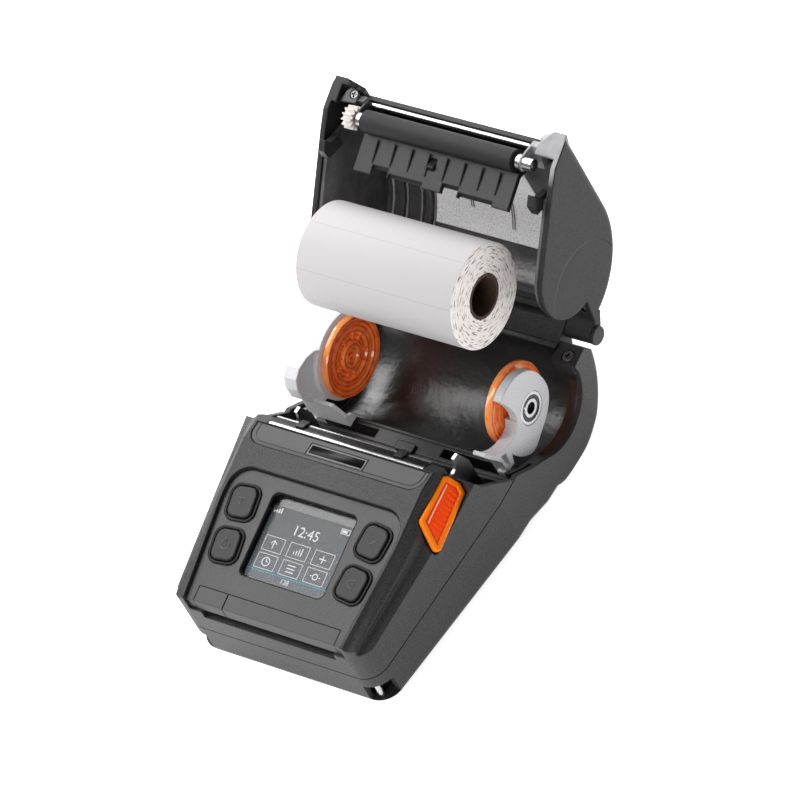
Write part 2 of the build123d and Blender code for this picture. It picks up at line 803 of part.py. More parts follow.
# Print mechanism: a folded frame carries the platen's bushes, the gears and the latch bar.
frame_in = 39.0
frame_out = 40.4
frame_low = 18.0
latch_pivot = (13.0, 27.0)
idler_pivot = (1.1, 33.6)
motor_pivot = (-10.9, 33.6)
motor_radius = 10.0
gear_x = (-46.6, -41.8)
notch_radius = bush_radius + 0.3

with BuildPart() as print_frame:
    plate = [
        (-1.3, frame_low), (19, frame_low), (19, 38), (15.5, head_room_z - 0.1),
        (3.5, head_room_z - 0.1), (3.5, 45.5), (-1.3, 45.5),
    ]
    motor_plate = [
        (-21, 24), (-1.0, frame_low), (-1.0, 43.5), (-20, 43.0),
    ]
    middle_x = (frame_in + frame_out) / 2
    half_thick = (frame_out - frame_in) / 2
    for side in (1, -1):
        prism_x(plate, half_thick, Mode.ADD, side * middle_x)
    prism_x(motor_plate, half_thick, Mode.ADD, -middle_x)
    block((-frame_out, frame_out), (1.5, 19), (frame_low, frame_low + 1.2))
    block((-15, frame_out), (-1.3, -0.5), (frame_low, 42))
    block((-frame_out, frame_out), (-1.3, 2), (frame_low, frame_low + 1.2))
    disc_x((platen_y, platen_z), notch_radius, -50, 50, Mode.SUBTRACT)
    block((-50, 50), (platen_y - notch_radius, platen_y + notch_radius),
          (platen_z, platen_z + 20), Mode.SUBTRACT)
    disc_x(latch_pivot, pin_radius + fit, -50, 50, Mode.SUBTRACT)
    disc_x(motor_pivot, 2.2, -50, -30, Mode.SUBTRACT)
    disc_x(idler_pivot, 1.5, gear_x[0] - 0.4, -frame_out)

save(print_frame.part, "print_frame")


def gear_sketch(center, teeth, module, bore, x_plane, phase=0.0, side=Plane.YZ):
    """A spur gear's profile with slim straight teeth."""
    pitch_r = teeth * module / 2
    root_r = pitch_r - 1.2 * module
    tip_r = pitch_r + module
    with BuildSketch(side.offset(x_plane)) as gear:
        with Locations(center):
            Circle(root_r)
        with Locations(Location(center)):
            with PolarLocations((root_r + tip_r) / 2 - 0.1, teeth, start_angle=phase):
                Trapezoid(1.5 * module, tip_r - root_r + 0.2, 80, rotation=-90)
        with Locations(center):
            Circle(bore, mode=Mode.SUBTRACT)
    return gear.sketch


gear_wide = gear_x[1] - gear_x[0]

with BuildPart() as idler_gear:
    extrude(gear_sketch(idler_pivot, 20, 0.8, 1.5 + fit, gear_x[0]), amount=gear_wide)

save(idler_gear.part, "idler_gear")

with BuildPart() as motor_pinion:
    extrude(gear_sketch(motor_pivot, 10, 0.8, 1.0 + fit, gear_x[0], 18), amount=gear_wide)

save(motor_pinion.part, "motor_pinion")

with BuildPart() as drive_motor:
    disc_x(motor_pivot, motor_radius, -frame_in + 0.1, -17)
    disc_x(motor_pivot, 1.0, gear_x[0] - 0.4, -frame_in + 0.2)

save(drive_motor.part, "drive_motor")

head_y = platen_y - platen_radius - 0.1
head_thick = 1.7

with BuildPart() as print_head:
    block((-38.4, 38.4), (head_y - head_thick, head_y), (35.0, 46.2))

save(print_head.part, "print_head")

with BuildPart() as head_bracket:
    block((-38.0, 38.0), (head_y - 2 * head_thick - 0.1, head_y - head_thick - 0.1), (27, 44))
    block((-37.0, 37.0), (head_y - head_thick - 0.2, head_y + 2.0), (27, 28.2))

save(head_bracket.part, "head_bracket")

with BuildPart() as head_springs:
    bracket_face = head_y - 2 * head_thick - 0.1
    leaf = [(-0.45, 30), (-0.1, 30), (bracket_face - 0.1, 34), (-0.1, 38), (-0.45, 38),
            (bracket_face - 0.5, 34)]
    for x in (-8.0, 10.0, 28.0):
        prism_x(leaf, 3, Mode.ADD, x)

save(head_springs.part, "head_springs")

hook_x = 51.8            # the hooks run outside the roll holders

with BuildPart() as latch_bar:
    disc_x(latch_pivot, pin_radius, -hook_x - 1, hook_x + 1)
    hook = [(11.2, 26), (8.6, 30), (8.8, 36.5), (12.0, 34.6), (12.0, 33.2), (10.8, 33.0),
            (10.6, 30), (13.6, 28.6)]
    for side in (1, -1):
        prism_x(hook, 1.0, Mode.ADD, side * hook_x)

save(latch_bar.part, "latch_bar")

bar_half = 38.9

with BuildPart() as tear_bar:
    bar = [(lip_y + 0.4, 58.2), (2.6, 56.2), (4.4, 55.5), (4.4, 54.9), (2.5, 54.6),
           (lip_y + 0.4, 57.5)]
    prism_x(bar, bar_half)

save(tear_bar.part, "tear_bar")

clip_x = 24.8

with BuildPart() as tear_bar_clips:
    clip = [(0.6, 57.35), (2.7, 56.5), (4.6, 55.75), (4.6, 54.0), (5.5, 54.0), (5.5, 56.0),
            (3.0, 57.3), (0.8, 58.1)]
    for side in (1, -1):
        prism_x(clip, 2, Mode.ADD, side * clip_x)

save(tear_bar_clips.part, "tear_bar_clips")

# Main board over the battery bay
with BuildPart() as main_board:
    board_z = battery_top + gap + bay_skin + 0.3
    block((-38.5, 38.5), (-68, -3), (board_z, board_z + 1.6))
    for x, y, w, d, h in ((-20, -50, 14, 14, 1.4), (12, -48, 20, 10, 2.0), (25, -25, 12, 16, 3.0),
                          (-8, -28, 8, 8, 1.2), (0, -63, 30, 5, 4.0)):
        block((x - w / 2, x + w / 2), (y - d / 2, y + d / 2), (board_z + 1.6, board_z + 1.6 + h))

save(main_board.part, "main_board")

# Roll holders: two arms slide inward on a rail, driven alike by racks on one pinion.
rail_y = (20.5, 30.5)
rail_z = (8.5, 24.0)
cavity_top = 16.5
stem_y = (24.0, 27.5)
stem_x = (46.2, 50.0)
slot_inner = 16.5
rack_z = (10.4, 14.4)
pinion_module = 0.5
pinion_teeth = 10
pinion_center = (0.0, 25.5)
pitch_radius = pinion_module * pinion_teeth / 2
rack_reach = 3.0
disc_face = roll_width / 2 + 0.8
disc_radius = 17.6
disc_thick = 3.3
axle_radius = 3.0
bearing_radius = 7.2

with BuildPart() as spool_rail:
    block((-51.1, 51.1), rail_y, rail_z)
    block((-50.4, 50.4), (rail_y[0] + 0.75, rail_y[1] - 0.75), (0, cavity_top), Mode.SUBTRACT)
    for side in (1, -1):
        x_pair = sorted((side * slot_inner, side * 50.3))
        block(x_pair, (stem_y[0] - 0.3, stem_y[1] + 0.3), (cavity_top - 1, 30), Mode.SUBTRACT)
        x_pair = sorted((side * 44, side * 49))
        block(x_pair, (rail_y[0], rail_y[0] + 0.85), (5.6, rail_z[0]))
    for y in (21.7, 28.9):
        block((-49.5, 49.5), (y, y + 0.4), (rail_z[1] - 0.4, rail_z[1] + 1), Mode.SUBTRACT)
    pin_z(*pinion_center, 0.9, rack_z[0], cavity_top + 0.1)

save(spool_rail.part, "spool_rail")

with BuildPart() as media_sensor:
    block((-4.5, 4.5), (21.2, 25.4), (rail_z[1] + 0.05, rail_z[1] + 1.3))
    fillet(media_sensor.edges().filter_by(Axis.Z), radius=0.6)

save(media_sensor.part, "media_sensor")

tooth_pitch = pi * pinion_module
tooth_wide = 0.42
tooth_high = 0.9

with BuildPart() as spool_pinion:
    with BuildSketch(Plane.XY.offset(rack_z[0] + 0.1)) as pinion:
        with Locations(pinion_center):
            Circle(pitch_radius - 0.55)
        with Locations(Location(pinion_center)):
            with PolarLocations(pitch_radius - 0.1, pinion_teeth, start_angle=90):
                Rectangle(tooth_high + 0.2, tooth_wide)
        with Locations(pinion_center):
            Circle(0.9 + fit, mode=Mode.SUBTRACT)
    extrude(pinion.sketch, amount=rack_z[1] - rack_z[0] - 0.2)

save(spool_pinion.part, "spool_pinion")


def holder_rack(side):
    """Stem, foot and toothed rack of one holder; the two racks lie either side of the pinion."""
    y_sign = -1 if side < 0 else 1
    root = pinion_center[1] + y_sign * (pitch_radius + 0.55)
    back = pinion_center[1] + y_sign * (pitch_radius + 1.55)
    x_pair = sorted((side * -rack_reach, side * stem_x[1]))
    block(x_pair, sorted((root, back)), rack_z)
    foot_x = sorted((side * stem_x[0], side * stem_x[1]))
    foot_y = sorted((back, pinion_center[1] + y_sign * 0.2))
    block(foot_x, foot_y, rack_z)
    block(foot_x, stem_y, (rack_z[0], rail_z[1] + 0.6))
    count = int((stem_x[0] - 1) / tooth_pitch)
    for step in range(-1, count):
        x = side * (step + 0.5) * tooth_pitch
        tooth_y = sorted((root, root - y_sign * tooth_high))
        block((x - tooth_wide / 2, x + tooth_wide / 2), tooth_y, rack_z)


# Right holder: a curved arm with a concave front, whose flange runs forward into a hook.
arm_back = [
    (39.2, 53.4), (46.5, 55.2), (54.9, 52.9), (60.6, 47.0), (63.1, 39.0), (62.9, 32.0), (58.4, 25.2),
    (48.2, 19.4), (41.9, 17.4), (37.1, 20.3), (33.2, 25.6), (31.2, 32.4),
]
arm_front = [(31.2, 32.4), (38.4, 33.6), (41.9, 37.5), (42.6, 42.5), (41.2, 48.5), (39.2, 53.4)]
flange_top = [(20.8, 43.6), (24.2, 38.2), (28.6, 35.0), (33.6, 33.5), (38.4, 34.0), (41.4, 37.8)]
flange_low = [(43.0, 36.8), (39.2, 32.2), (33.6, 31.8), (27.6, 33.3), (22.7, 37.0), (19.3, 42.7)]
hook_face = [(19.3, 42.7), (20.8, 43.6), (26.4, 33.6), (27.0, 24.1), (25.4, 24.1), (25.3, 31.5)]
arm_leg = [(24.0, 24.1), (24.0, 26.0), (28.4, 26.0), (29.6, 33.6), (33.2, 33.2), (30.4, 24.1)]
flange_x = 44.0
arm_thick = stem_x[1] - stem_x[0]

with BuildPart() as holder_right:
    with BuildSketch(Plane.YZ.offset(stem_x[0])) as arm:
        with BuildLine():
            Spline(*arm_back)
            Spline(*arm_front)
        make_face()
    extrude(arm.sketch, amount=arm_thick)
    with BuildSketch(Plane.YZ.offset(flange_x)) as flange:
        with BuildLine():
            Spline(*flange_top)
            Line(flange_top[-1], flange_low[0])
            Spline(*flange_low)
            Line(flange_low[-1], flange_top[0])
        make_face()
    extrude(flange.sketch, amount=stem_x[1] - flange_x)
    prism_x(hook_face, (stem_x[1] - flange_x) / 2, Mode.ADD, (stem_x[1] + flange_x) / 2)
    prism_x(arm_leg, arm_thick / 2, Mode.ADD, (stem_x[0] + stem_x[1]) / 2)
    disc_x((spool_y, spool_z), bearing_radius + fit, stem_x[0] - 3, stem_x[1] + 1, Mode.SUBTRACT)
    holder_rack(1)

save(holder_right.part, "holder_right")

# Left holder: a hollow scoop over a wide front plate, with a round plate behind the disc.
plate_radius = 19.3
scoop_face_x = -43.6
scoop_floor_x = -48.6
scoop_wall = 1.3
scoop = [
    (29.2, 29.2), (25.6, 34.6), (21.7, 41.3), (21.5, 47.9), (23.4, 52.4), (27.6, 54.9), (33.4, 54.9),
    (38.6, 53.0), (42.5, 48.5), (42.5, 29.2),
]
front_plate = [(-50.0, 24.1), (-50.0, 36.0), (-34.0, 36.0), (-29.5, 30.0), (-29.5, 24.1)]
front_plate_y = (25.3, 26.9)
flag = [(25.4, 24.3), (25.4, 30.0), (29.3, 28.0), (32.9, 20.6), (31.2, 20.6), (31.2, 23.0), (30.7, 24.3)]


def scoop_outline(x_plane, inset):
    """The scoop's outline from the side, drawn in by inset."""
    with BuildSketch(Plane.YZ.offset(x_plane)) as outline:
        with BuildLine():
            Polyline(*scoop, close=True)
        make_face()
        fillet(outline.vertices().filter_by(lambda v: v.Y < 41), radius=3.0)
        if inset:
            offset(amount=-inset)
    return outline.sketch


with BuildPart() as holder_left:
    extrude(scoop_outline(-stem_x[1], 0), amount=scoop_face_x + stem_x[1])
    extrude(scoop_outline(scoop_floor_x, scoop_wall), amount=6, mode=Mode.SUBTRACT)
    with BuildSketch(Plane(origin=(0, front_plate_y[1], 0), x_dir=(1, 0, 0), z_dir=(0, -1, 0))) as front:
        with BuildLine():
            Polyline(*front_plate, close=True)
        make_face()
    extrude(front.sketch, amount=front_plate_y[1] - front_plate_y[0])
    prism_x(flag, 0.8, Mode.ADD, -30.3)
    web = [(25.3, 24.1), (25.3, 34.0), (30.0, 34.0), (30.0, 24.1)]
    prism_x(web, 1.9, Mode.ADD, -48.1)
    disc_x((spool_y, spool_z), plate_radius, -45.6, -43.5)
    disc_x((spool_y, spool_z), bearing_radius + 2.4, -48.4, -45.5)
    disc_x((spool_y, spool_z), disc_radius + 0.6, -43.5, -39, Mode.SUBTRACT)
    disc_x((spool_y, spool_z), bearing_radius + fit, -50.5, -39, Mode.SUBTRACT)
    holder_rack(-1)

save(holder_left.part, "holder_left")

for side, name in ((-1, "left"), (1, "right")):
    with BuildPart() as bearing:
        x_pair = sorted((side * 45.0, side * (49.8 if side > 0 else 48.2)))
        disc_x((spool_y, spool_z), bearing_radius, *x_pair)
        disc_x((spool_y, spool_z), axle_radius + fit, *x_pair, Mode.SUBTRACT)
        ring_x = sorted((side * 49.3, side * 50))
        if side > 0:
            disc_x((spool_y, spool_z), 5.6, *ring_x, Mode.SUBTRACT)
            disc_x((spool_y, spool_z), 4.6, 48.8, 49.7)
            disc_x((spool_y, spool_z), axle_radius + fit, 48, 50, Mode.SUBTRACT)
    save(bearing.part, f"bearing_{name}")
    with BuildPart() as spool_disc:
        x_pair = sorted((side * disc_face, side * (disc_face + disc_thick)))
        disc_x((spool_y, spool_z), disc_radius, *x_pair)
        rim = spool_disc.edges().filter_by(GeomType.CIRCLE).sort_by(Axis.X)
        fillet(rim[0] if side > 0 else rim[-1], radius=1.0)
        for ring_r in (15.4, 13.2, 11.0):
            with BuildSketch(Plane.YZ.offset(side * (disc_face + 0.35))) as groove:
                with Locations((spool_y, spool_z)):
                    Circle(ring_r)
                    Circle(ring_r - 1.1, mode=Mode.SUBTRACT)
            extrude(groove.sketch, amount=-side, mode=Mode.SUBTRACT)
        axle_x = sorted((side * (disc_face + disc_thick - 0.1), side * (48.6 if side < 0 else 49.9)))
        disc_x((spool_y, spool_z), axle_radius, *axle_x)
        disc_x((spool_y, spool_z), axle_radius + 1.5,
               *sorted((side * (disc_face + disc_thick), side * 44.6)))
        disc_x((spool_y, spool_z), 1.2, -60, 60, Mode.SUBTRACT)
    save(spool_disc.part, f"disc_{name}")

# Label roll, held over the bay as it is dropped in
roll_rest = (65.6, 85.6)

with BuildPart() as label_roll:
    disc_x(roll_rest, roll_radius, -roll_width / 2, roll_width / 2)
    disc_x(roll_rest, core_radius, -60, 60, Mode.SUBTRACT)

save(label_roll.part, "label_roll")

with BuildPart() as roll_core:
    disc_x(roll_rest, core_radius - fit, -roll_width / 2, roll_width / 2)
    disc_x(roll_rest, core_radius - core_wall, -60, 60, Mode.SUBTRACT)

save(roll_core.part, "roll_core")

# Cover, drawn closed in its own side view: first value rearward, second value upward,
# both from the hinge axis.
cover_half = 58.0
horn_inner = 44.5
skin_front = -81.9       # front edge of the cover's skin between the horns
horn_tip = (-90.7, 20.8)
horn_foot = (-83.4, 8.45)
horn_length = sqrt((horn_foot[0] - horn_tip[0])**2 + (horn_foot[1] - horn_tip[1])**2)
horn_along = (
    (horn_foot[0] - horn_tip[0]) / horn_length, (horn_foot[1] - horn_tip[1]) / horn_length,
)
horn_cap = 10.5          # the horns' ends are closed this far down from the tip
horn_cap_thick = 3.0
top_bend = (-63.0, 26.0)
dome_start = (-46.6, 29.1)
dome_center = (-39.2, -5.3)
dome_radius = 35.2
rear_top = (-5.9, 6.2)
rear_low = (-7.6, 2.0)
lobe_center = (-36.4, -2.0)
lobe_radius = 19.2
rim_front = (-77.1, 3.4)
rim_rear = (-46.2, -18.5)


def dome_point(radius, angle):
    """A point of the dome about its centre, angle in degrees from rearward, upwards."""
    turn = radians(angle)
    return (dome_center[0] + radius * cos(turn), dome_center[1] + radius * sin(turn))


def horn_point(down, deep):
    """A point of the horn's front face in the cover's side view: down from the tip, then inward."""
    return (horn_tip[0] + horn_along[0] * down - horn_along[1] * deep,
            horn_tip[1] + horn_along[1] * down + horn_along[0] * deep)


# The horns' front face as a plane: +X to the right, +Y up to the tip, +Z outward.
horn_face = Plane(
    origin=cover_top.from_local_coords(Vector(0, *horn_tip)),
    x_dir=(1, 0, 0),
    z_dir=cover_top.y_dir * horn_along[1] - cover_top.z_dir * horn_along[0],
)


def cover_outline(x_plane, inset=0.0):
    """The closed cover's outline from the side, drawn in by inset."""
    with BuildSketch(cover_side.offset(x_plane)) as outline:
        with BuildLine():
            Polyline(horn_foot, horn_tip, top_bend, dome_start)
            ThreePointArc(dome_start, dome_point(dome_radius, 60), rear_top)
            lobe_end = (lobe_center[0] + lobe_radius * 0.983, lobe_center[1] + lobe_radius * 0.184)
            Polyline(rear_top, rear_low, lobe_end)
            lobe_low = (lobe_center[0], lobe_center[1] - lobe_radius)
            ThreePointArc(lobe_end, lobe_low, rim_rear)
            Polyline(rim_rear, rim_front, horn_foot)
        make_face()
        if inset:
            offset(amount=-inset)
    return outline.sketch


def room_under_cover(inset, front, half):
    """Everything under the cover's skin, with the skin inset deep."""
    radius = dome_radius - inset
    with BuildSketch(cover_side) as room:
        with BuildLine():
            start = dome_point(radius, 102.1)
            slope = (top_bend[1] - horn_tip[1]) / (top_bend[0] - horn_tip[0])
            drop = 1.03 * inset
            front_top = top_bend[1] - drop + slope * (front - top_bend[0])
            end = dome_point(radius, 0)
            Polyline((front, front_top), (top_bend[0] + 0.4, top_bend[1] - drop), start)
            ThreePointArc(start, dome_point(radius, 60), end)
            Polyline(end, (end[0], -60), (front, -60), (front, front_top))
        make_face()
    extrude(room.sketch, amount=half, both=True)


cap_x = (53.2, 46.1)      # inner ends of the left and right horn's cap
plate_deep = 2.0          # the left screw plate lies this far behind the horn's front face
plate_thick = 1.8
left_screw = (-47.4, -5.4)
screw_plate = [(-52.9, -9.4), (-51.5, -4.6), (-48.8, -2.1), (-46.8, -2.4), (-45.2, -5.6),
               (-45.2, -8.9)]


def left_plate(grow, deep, thick, mode):
    """The left screw plate, or the room for it, parallel to the horn's front face."""
    with BuildSketch(horn_face.offset(-deep)) as outline:
        with BuildLine():
            Polyline(*screw_plate, close=True)
        make_face()
        if grow:
            offset(amount=grow)
    extrude(outline.sketch, amount=-thick, mode=mode)


with BuildPart() as cover_room:
    room_under_cover(wall, -100, cover_half - wall)

with BuildPart() as cover_shell:
    extrude(cover_outline(0), amount=cover_half, both=True)
    top_edges = cover_shell.edges().filter_by(
        lambda e: abs(e.center().X) > cover_half - 0.1
        and cover_side.to_local_coords(e.center()).Y > 10
        and cover_side.to_local_coords(e.center()).X > -84
    )
    fillet(top_edges, radius=3.5)
    add(cover_room.part, mode=Mode.SUBTRACT)
    cap = [horn_tip, horn_point(horn_cap, 0), horn_point(horn_cap, horn_cap_thick), (-84.3, 20.3)]
    for x_pair in ((-cover_half + 0.5, -cap_x[0]), (cap_x[1], cover_half - 0.5)):
        prism_x(cap, (x_pair[1] - x_pair[0]) / 2, Mode.ADD, sum(x_pair) / 2, cover_side)
    left_plate(0.15, plate_deep - 0.3, plate_thick + 0.45, Mode.SUBTRACT)
    # The skin stops over the platen; the horns run on beside the tear bar.
    block((-horn_inner, horn_inner), (-100, skin_front), (-20, 60), Mode.SUBTRACT, cover_top)
    with BuildSketch(cover_top) as taper:
        with BuildLine():
            Polyline((-horn_inner - 8, -100), (-horn_inner - 7.5, horn_tip[0] - 0.2),
                     (-horn_inner - 0.1, -86.4), (horn_inner + 0.1, -86.4),
                     (horn_inner + 7.5, horn_tip[0] - 0.2), (horn_inner + 8, -100), close=True)
        make_face()
    extrude(taper.sketch, amount=60, mode=Mode.SUBTRACT)
    # Hinge arms and barrels
    arm = [(-9.5, 2.3), (-7.6, 6.9), (-5.9, 6.2), (1.5, 3.4), (-2.0, -3.3), (-3.8, -1.0), (-5.6, 2.0),
           (rear_low[0], rear_low[1] + 0.1)]
    barrel_mid = (barrel_half + 0.5 + cover_half) / 2
    barrel_reach = (cover_half - barrel_half - 0.5) / 2
    for side in (1, -1):
        prism_x(arm, barrel_reach, Mode.ADD, side * barrel_mid, cover_side)
        x_pair = sorted((side * (barrel_half + 0.5), side * cover_half))
        disc_x((0, 0), barrel_radius, *x_pair, Mode.ADD, cover_side)
    disc_x((0, 0), pin_radius + fit, -70, 70, Mode.SUBTRACT, cover_side)

save(cover_shell.part, "cover_shell")

liner_front = -72.5
liner_rear = -10.4       # the hinge arms start behind this line
liner_skin = 1.5

with BuildPart() as liner_core:
    room_under_cover(wall + 0.3 + liner_skin, liner_front - 1, cover_half - wall - 0.3 - liner_skin)

with BuildPart() as cover_liner:
    room_under_cover(wall + 0.3, liner_front, cover_half - wall - 0.3)
    extrude(cover_outline(0, 0.8), amount=70, both=True, mode=Mode.INTERSECT)
    block((-60, 60), (liner_rear, 20), (-40, 60), Mode.SUBTRACT, cover_top)
    add(liner_core.part, mode=Mode.SUBTRACT)

save(cover_liner.part, "cover_liner")

# Light panel inside the cover, behind the paper guide
panel_x = (5.0, 44.0)
panel_front = -70.0
panel_rear = -47.0

with BuildPart() as panel_core:
    room_under_cover(wall + 0.3 + liner_skin + 1.3, -100, 70)

with BuildPart() as cover_panel:
    room_under_cover(wall + 0.3 + liner_skin + 0.3, panel_front, 70)
    add(panel_core.part, mode=Mode.SUBTRACT)
    block(panel_x, (panel_front, panel_rear), (0, 60), Mode.INTERSECT, cover_top)

save(cover_panel.part, "cover_panel")

# Brackets in the horns carry the platen, its bushes and the peel bar.
ear_x = (40.7, 41.6)
horn_block_x = (44.9, 47.9)  # outer ends of the right and left block
horn_block_z = (15.6, 18.6)

with BuildPart() as horn_brackets:
    ear = [
        (skin_front + 0.6, 19.0), (-73.2, 20.4), (-73.2, 16), (-78.6, 7.0), (-83.6, 7.0), (-84.6, 12),
        (-84.6, 18.6), (skin_front + 0.6, 18.8),
    ]
    ear_mid = sum(ear_x) / 2
    ear_half = (ear_x[1] - ear_x[0]) / 2
    for side in (1, -1):
        prism_x(ear, ear_half, Mode.ADD, side * ear_mid, cover_side)
        x_pair = sorted((side * (ear_x[1] - 0.1), side * horn_block_x[1 if side < 0 else 0]))
        block(x_pair, (-85.0, -73.2), horn_block_z, Mode.ADD, cover_top)
    left_plate(0, plate_deep, plate_thick, Mode.ADD)
    pin_z(*left_screw, 2.0, -plate_deep - 1.3, 0, Mode.SUBTRACT, horn_face)
    pin_z(*left_screw, 0.9, -5, 0, Mode.SUBTRACT, horn_face)
    disc_x((platen_dy, platen_dz), shaft_radius + fit, -50, 50, Mode.SUBTRACT, cover_side)
    disc_x((rod_dy, rod_dz), 0.85, -50, 50, Mode.SUBTRACT, cover_side)

save(horn_brackets.part, "horn_brackets")

with BuildPart() as peel_bar:
    disc_x((rod_dy, rod_dz), 1.0, -38.7, 38.7, Mode.ADD, cover_side)
    disc_x((rod_dy, rod_dz), 0.8, -42.0, 42.0, Mode.ADD, cover_side)

save(peel_bar.part, "peel_bar")

with BuildPart() as platen_rubber:
    disc_x((platen_dy, platen_dz), platen_radius, -platen_half, platen_half, Mode.ADD, cover_side)
    disc_x((platen_dy, platen_dz), shaft_radius + 0.01, -50, 50, Mode.SUBTRACT, cover_side)

save(platen_rubber.part, "platen_rubber")

with BuildPart() as platen_shaft:
    disc_x((platen_dy, platen_dz), shaft_radius, gear_x[0] - 0.6, 46.6, Mode.ADD, cover_side)

save(platen_shaft.part, "platen_shaft")

with BuildPart() as platen_gear:
    platen_profile = gear_sketch(
        (platen_dy, platen_dz), 12, 0.7, shaft_radius + 0.01, gear_x[0], 0, cover_side)
    extrude(platen_profile, amount=gear_wide)

save(platen_gear.part, "platen_gear")

with BuildPart() as platen_bushes:
    for side in (1, -1):
        x_pair = sorted((side * 38.9, side * (ear_x[0] - 0.05)))
        disc_x((platen_dy, platen_dz), bush_radius, *x_pair, Mode.ADD, cover_side)
    disc_x((platen_dy, platen_dz), 2.6, ear_x[1] + 0.1, 46.2, Mode.ADD, cover_side)
    disc_x((platen_dy, platen_dz), shaft_radius + fit, -50, 50, Mode.SUBTRACT, cover_side)

save(platen_bushes.part, "platen_bushes")

# Paper guide behind the platen, grooved along its length
guide_top = (-76.3, 7.5)
guide_low = (-67.4, -5.3)
guide_half = 38.6
guide_rib_x = -30.6      # first of the thin ridges that divide the guide into nine fields
guide_pitch = 8.75

with BuildPart() as paper_guide:
    plate = [
        guide_top, guide_low, (-65.7, -4.2), (-73.7, 7.4), (-73.4, 21.0), (-75.0, 20.7),
        (-75.6, 9.6),
    ]
    prism_x(plate, guide_half, Mode.ADD, 0, cover_side)
    for first, steps, edge_z in ((1, 1, -1.9), (2, 2, -3.5), (5, 1, -1.9), (6, 2, -3.5)):
        x_low = guide_rib_x + (first - 1) * guide_pitch
        block((x_low + 0.6, x_low + steps * guide_pitch), (-74, -60), (-12, edge_z), Mode.SUBTRACT,
              cover_top)
    rib = [(guide_top[0] + 0.6, guide_top[1] - 1.6), (guide_low[0] - 2.4, guide_low[1] + 4.0),
           (guide_low[0] - 3.0, guide_low[1] + 3.8), (guide_top[0] - 0.1, guide_top[1] - 1.8)]
    for step in range(8):
        prism_x(rib, 0.3, Mode.ADD, guide_rib_x + step * guide_pitch, cover_side)
    block((-4.2, -0.6), (-80, -60), (1.0, 5.2), Mode.SUBTRACT, cover_top)

save(paper_guide.part, "paper_guide")

with BuildPart() as gap_sensor:
    block((-4.1, -0.7), (-73.6, -71.6), (1.1, 5.1), Mode.ADD, cover_top)

save(gap_sensor.part, "gap_sensor")

catch_x = (50.6, cover_half - wall - 0.3 - liner_skin - 0.1)

with BuildPart() as cover_catches:
    lug = [(-77.9, -3.1), (-74.0, -5.8), (-69.2, -4.6), (-68.6, 5.4), (-73.5, 5.4), (-74.5, -0.5)]
    for side in (1, -1):
        prism_x(lug, (catch_x[1] - catch_x[0]) / 2, Mode.ADD, side * sum(catch_x) / 2, cover_side)

save(cover_catches.part, "cover_catches")

with BuildPart() as cover_screws:
    spot = horn_face.offset(-plate_deep - 0.15).from_local_coords(Vector(*left_screw, 0))
    place = Plane(origin=spot, x_dir=(1, 0, 0), z_dir=horn_face.z_dir)
    add(phillips_screw(place, 1.9, 1.1, 0.8, 0.5))
    spot = cover_top.from_local_coords(Vector(49.8, -80.5, 18.2))
    place = Plane(origin=spot, x_dir=(1, 0, 0), z_dir=-cover_top.z_dir)
    add(phillips_screw(place, 2.4, 1.2, 0.9, 0.1))

save(cover_screws.part, "cover_screws")

pin_head_radius = 4.1

with BuildPart() as hinge_pins:
    disc_x((hinge_y, hinge_z), pin_radius, -cover_half - 0.6, cover_half + 0.6)
    for side in (1, -1):
        x_pair = sorted((side * (cover_half + 0.4), side * (cover_half + 1.6)))
        disc_x((hinge_y, hinge_z), pin_head_radius, *x_pair)
        rim = hinge_pins.edges().filter_by(GeomType.CIRCLE).sort_by(Axis.X)
        fillet(rim[-1] if side > 0 else rim[0], radius=0.5)

save(hinge_pins.part, "hinge_pins")
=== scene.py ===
# %% [markdown]
# # A portable label printer with its cover open
#
# The printer's pieces come from CAD as named nodes that never move here. This lesson gives
# them their finishes, and remodels the few whose looks need more than CAD holds: the toothed
# tear bar, the ribbed lever, the orange discs, a bearing, the label roll, the keys' marks, the
# screen, the badge place and the inside of the cover. The CAD model's own frame is in metres:
# +X is the operator's right, +Y the hinge side and +Z up. Lists of points are in millimetres.

# %% Load the frame
from math import atan, cos, radians, sin

import bmesh
import bpy
from mathutils import Matrix, Vector


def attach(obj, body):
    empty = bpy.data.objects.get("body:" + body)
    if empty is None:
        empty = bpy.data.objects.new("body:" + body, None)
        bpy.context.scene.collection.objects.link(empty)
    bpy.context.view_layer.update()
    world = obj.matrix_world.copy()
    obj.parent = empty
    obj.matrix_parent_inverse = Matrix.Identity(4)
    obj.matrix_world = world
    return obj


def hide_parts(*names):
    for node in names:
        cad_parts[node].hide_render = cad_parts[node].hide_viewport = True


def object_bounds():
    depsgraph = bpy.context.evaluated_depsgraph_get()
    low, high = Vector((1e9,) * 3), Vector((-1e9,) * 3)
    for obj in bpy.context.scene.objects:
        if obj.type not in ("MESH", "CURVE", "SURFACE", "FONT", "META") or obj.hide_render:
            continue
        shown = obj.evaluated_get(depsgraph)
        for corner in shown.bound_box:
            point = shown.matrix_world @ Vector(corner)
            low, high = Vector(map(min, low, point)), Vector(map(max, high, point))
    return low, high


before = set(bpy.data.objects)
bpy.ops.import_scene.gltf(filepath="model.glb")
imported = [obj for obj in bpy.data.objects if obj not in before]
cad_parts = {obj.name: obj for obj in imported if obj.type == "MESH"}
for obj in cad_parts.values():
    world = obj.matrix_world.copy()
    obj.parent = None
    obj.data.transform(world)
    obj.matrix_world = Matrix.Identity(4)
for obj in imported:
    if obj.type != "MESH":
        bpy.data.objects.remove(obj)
cad_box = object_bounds()
mm = 0.001

# %% [markdown]
# ## Camera
#
# A product photograph is taken from far away with a long lens, so that edges stay nearly
# parallel. The camera's place was worked out from the printer's own corners, and so was its
# roll: the printer stands aslant in the frame. A rotation matrix built from the camera's
# right, up and back directions says all of that at once.

